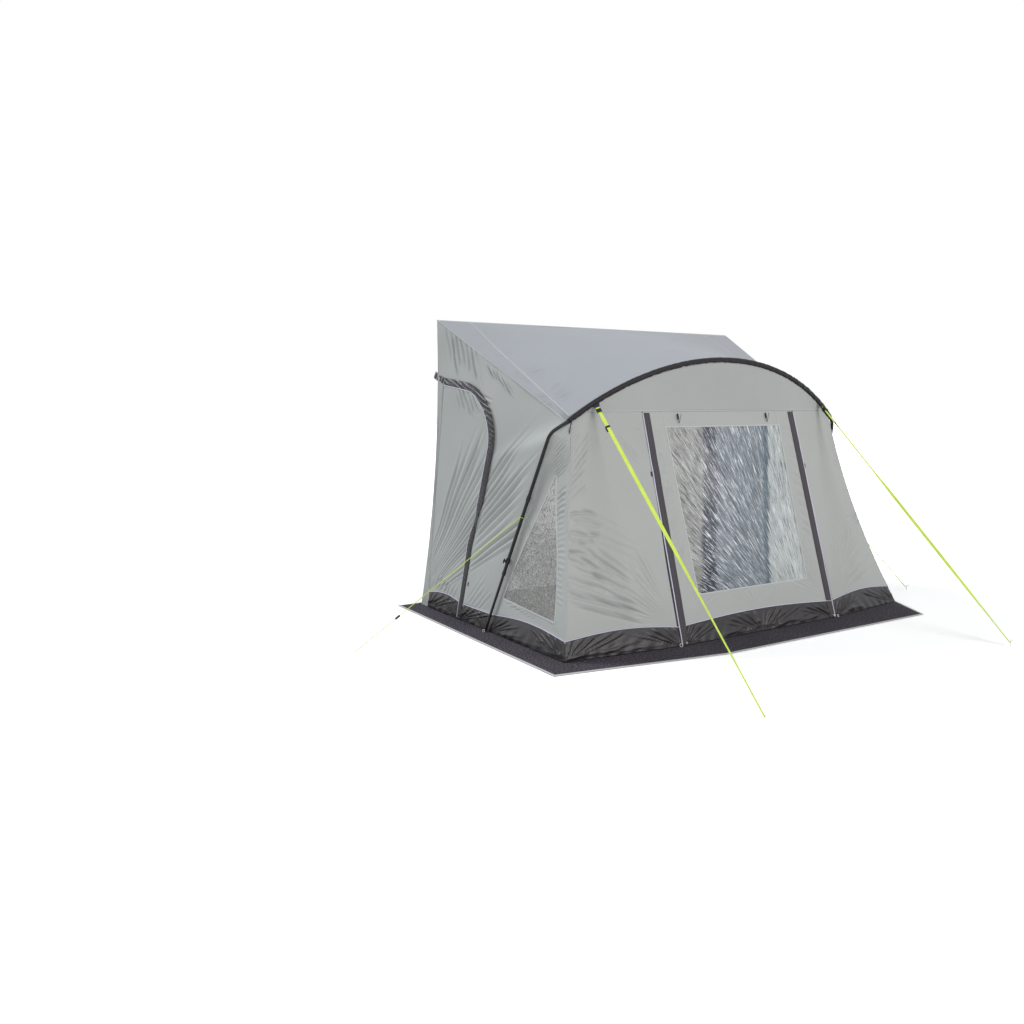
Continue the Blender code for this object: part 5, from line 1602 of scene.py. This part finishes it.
def make_small_fittings(side, word):
    """Rings, loops and ties sewn on by hand at the legs, zips and toggles."""
    ring(f"guy_loop_{word}", leg_point(side, guy_band_height), leg_axis(side), guy_band_radius + 0.0020, 0.0020,
         "line")
    ring(f"leg_foot_eye_{word}", leg_foot(side) + Vector((side * 0.014, -0.010, 0.016)), (side, -0.8, 0.1),
         0.009, 0.0018, "ring")
    foot = zip_line(side, 0)
    ring(f"zip_foot_ring_{word}", foot + Vector((side * 0.030, -0.014, 0.014)), (side * 0.3, -1, 0.3), 0.011,
         0.0018, "ring")
    ring(f"zip_foot_eyelet_{word}", foot + Vector((-side * 0.020, -0.014, 0.024)), (0, -1, 0.3), 0.006, 0.0016,
         "brass", "front_door")
    end = arch_point(side * (arch_end_half - 0.004)) + Vector((0, -0.022, -0.010))
    tie = [end + Vector((side * 0.020 * share, -0.002 * math.sin(math.pi * share), -0.095 * share))
           for share in spaced(0, 1, 12)]
    tube(f"sleeve_tie_{word}", tie, 0.0030, "sleeve")
    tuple(tie[0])
    hook = place(side * 0.462, rear_y + 0.4885, 1.617)
    way = Vector((0.020, -0.004, -0.070))
    loop = [hook + Vector((-0.020, 0, 0)) + way * share for share in spaced(0, 1, 8)]
    loop += [loop[-1] + Vector((0.020, 0.004, 0.070)) * share for share in spaced(0, 1, 8)[1:]]
    tube(f"toggle_loop_{word}", loop, 0.0016, "sleeve")
    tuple(loop[0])


# Rail bead, carpet and bare solids

def make_bead():
    ends = [Vector((across, rear_y + 0.0038, rail_height)) for across in spaced(-rail_half, rail_half, 60)]
    tube("rail_bead_cord", ends, 0.0036, "bead", node="rail_bead", resolution=5)


def make_carpet():
    """The breathable carpet, its outline bound with a paler tape."""
    rear = [Vector((-1.990, 1.25, 0)), Vector((1.990, 1.25, 0))]
    front = [place(*corner, 0) for corner in ((-1.940, 2.220), (-0.650, 2.430), (1.500, 2.430), (1.990, 1.530))]
    rng = np.random.RandomState(95)
    columns, rows = 200, 120
    points = np.empty((rows + 1, columns + 1, 3))
    for column, share in enumerate(spaced(0, 1, columns)):
        low, high = np.array(rear[0].lerp(rear[1], share)), np.array(along(front, share))
        points[:, column] = low + (high - low) * np.linspace(0, 1, rows + 1)[:, None]
    pattern = points[:, :, :2].copy()
    rise = soft_waves(pattern[:, :, 0], pattern[:, :, 1], rng, 9, 0.25, 0.8, 0.0014)
    points[:, :, 2] = 0.0032 + rise * edge_mask(points, 3, 3)
    item = grid_piece("carpet_cloth", points, pattern, (0, 0, 1), "carpet", "shell", 0.0048, "carpet")
    width, length, area = cut_size(points)
    corners = [rear[1], rear[0], *front]
    path = []
    for a, b in zip(corners, corners[1:] + corners[:1]):
        steps = max(2, round((b - a).length / 0.03))
        path += [a.lerp(b, share) for share in spaced(0, 1, steps)[:-1]]
    path = np.array(path)
    path[:, 2] = 0.0033
    normals = repeated((0, 0, 1.0), len(path))
    lateral = mitred(path, normals)
    if lateral[1, 1] < 0:
        lateral = -lateral
    profile = ((-0.0195, 0.0025), (-0.018, 0.0034), (-0.001, 0.0034), (0.0012, 0.0016), (0.0012, -0.0016),
               (-0.001, -0.0026))
    band("carpet_edge_tape", *closed_loop(path, lateral, normals), profile, "binding", thickness=0.0006,
         outward=(0, 0, 1))


def dress_solids():
    """Solids whose shapes are right keep them and get their finishes."""
    finish = {"arch_pole": "pole"}
    for look, stems in (
            ("pole", ("corner_pole", "upper_leg", "lower_leg")),
            ("plastic", ("pole_collar", "leg_clamp", "clamp_knob", "strap_buckle", "guy_runner", "toggle")),
            ("zip", ("front_zip_slider", "side_zip_slider")), ("steel", ("strap_peg", "guy_peg")),
            ("tab", ("strap_tab",))):
        finish.update({f"{stem}_{word}": look for stem in stems for _, word in sides})
    for node, look in finish.items():
        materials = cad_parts[node].data.materials
        materials.clear()
        materials.append(looks[look])


def main():
    make_camera()
    make_looks()
    for index, (side, word) in enumerate(sides):
        make_strap(index, side, word)
        make_guy(index, side, word)
    make_light()
    make_floor()
    make_roof()
    make_valance()
    make_front_panel()
    for side, word in sides:
        for make in (make_front_corner, make_side_wall, make_side_door, make_gusset, make_front_cover,
                     make_side_cover, make_seams, make_small_fittings):
            make(side, word)
    make_mud_walls()
    make_sleeve()
    make_bead()
    make_carpet()
    dress_solids()
    bpy.context.scene.view_settings.view_transform = "Standard"


main()
bpy.context.view_layer.update()
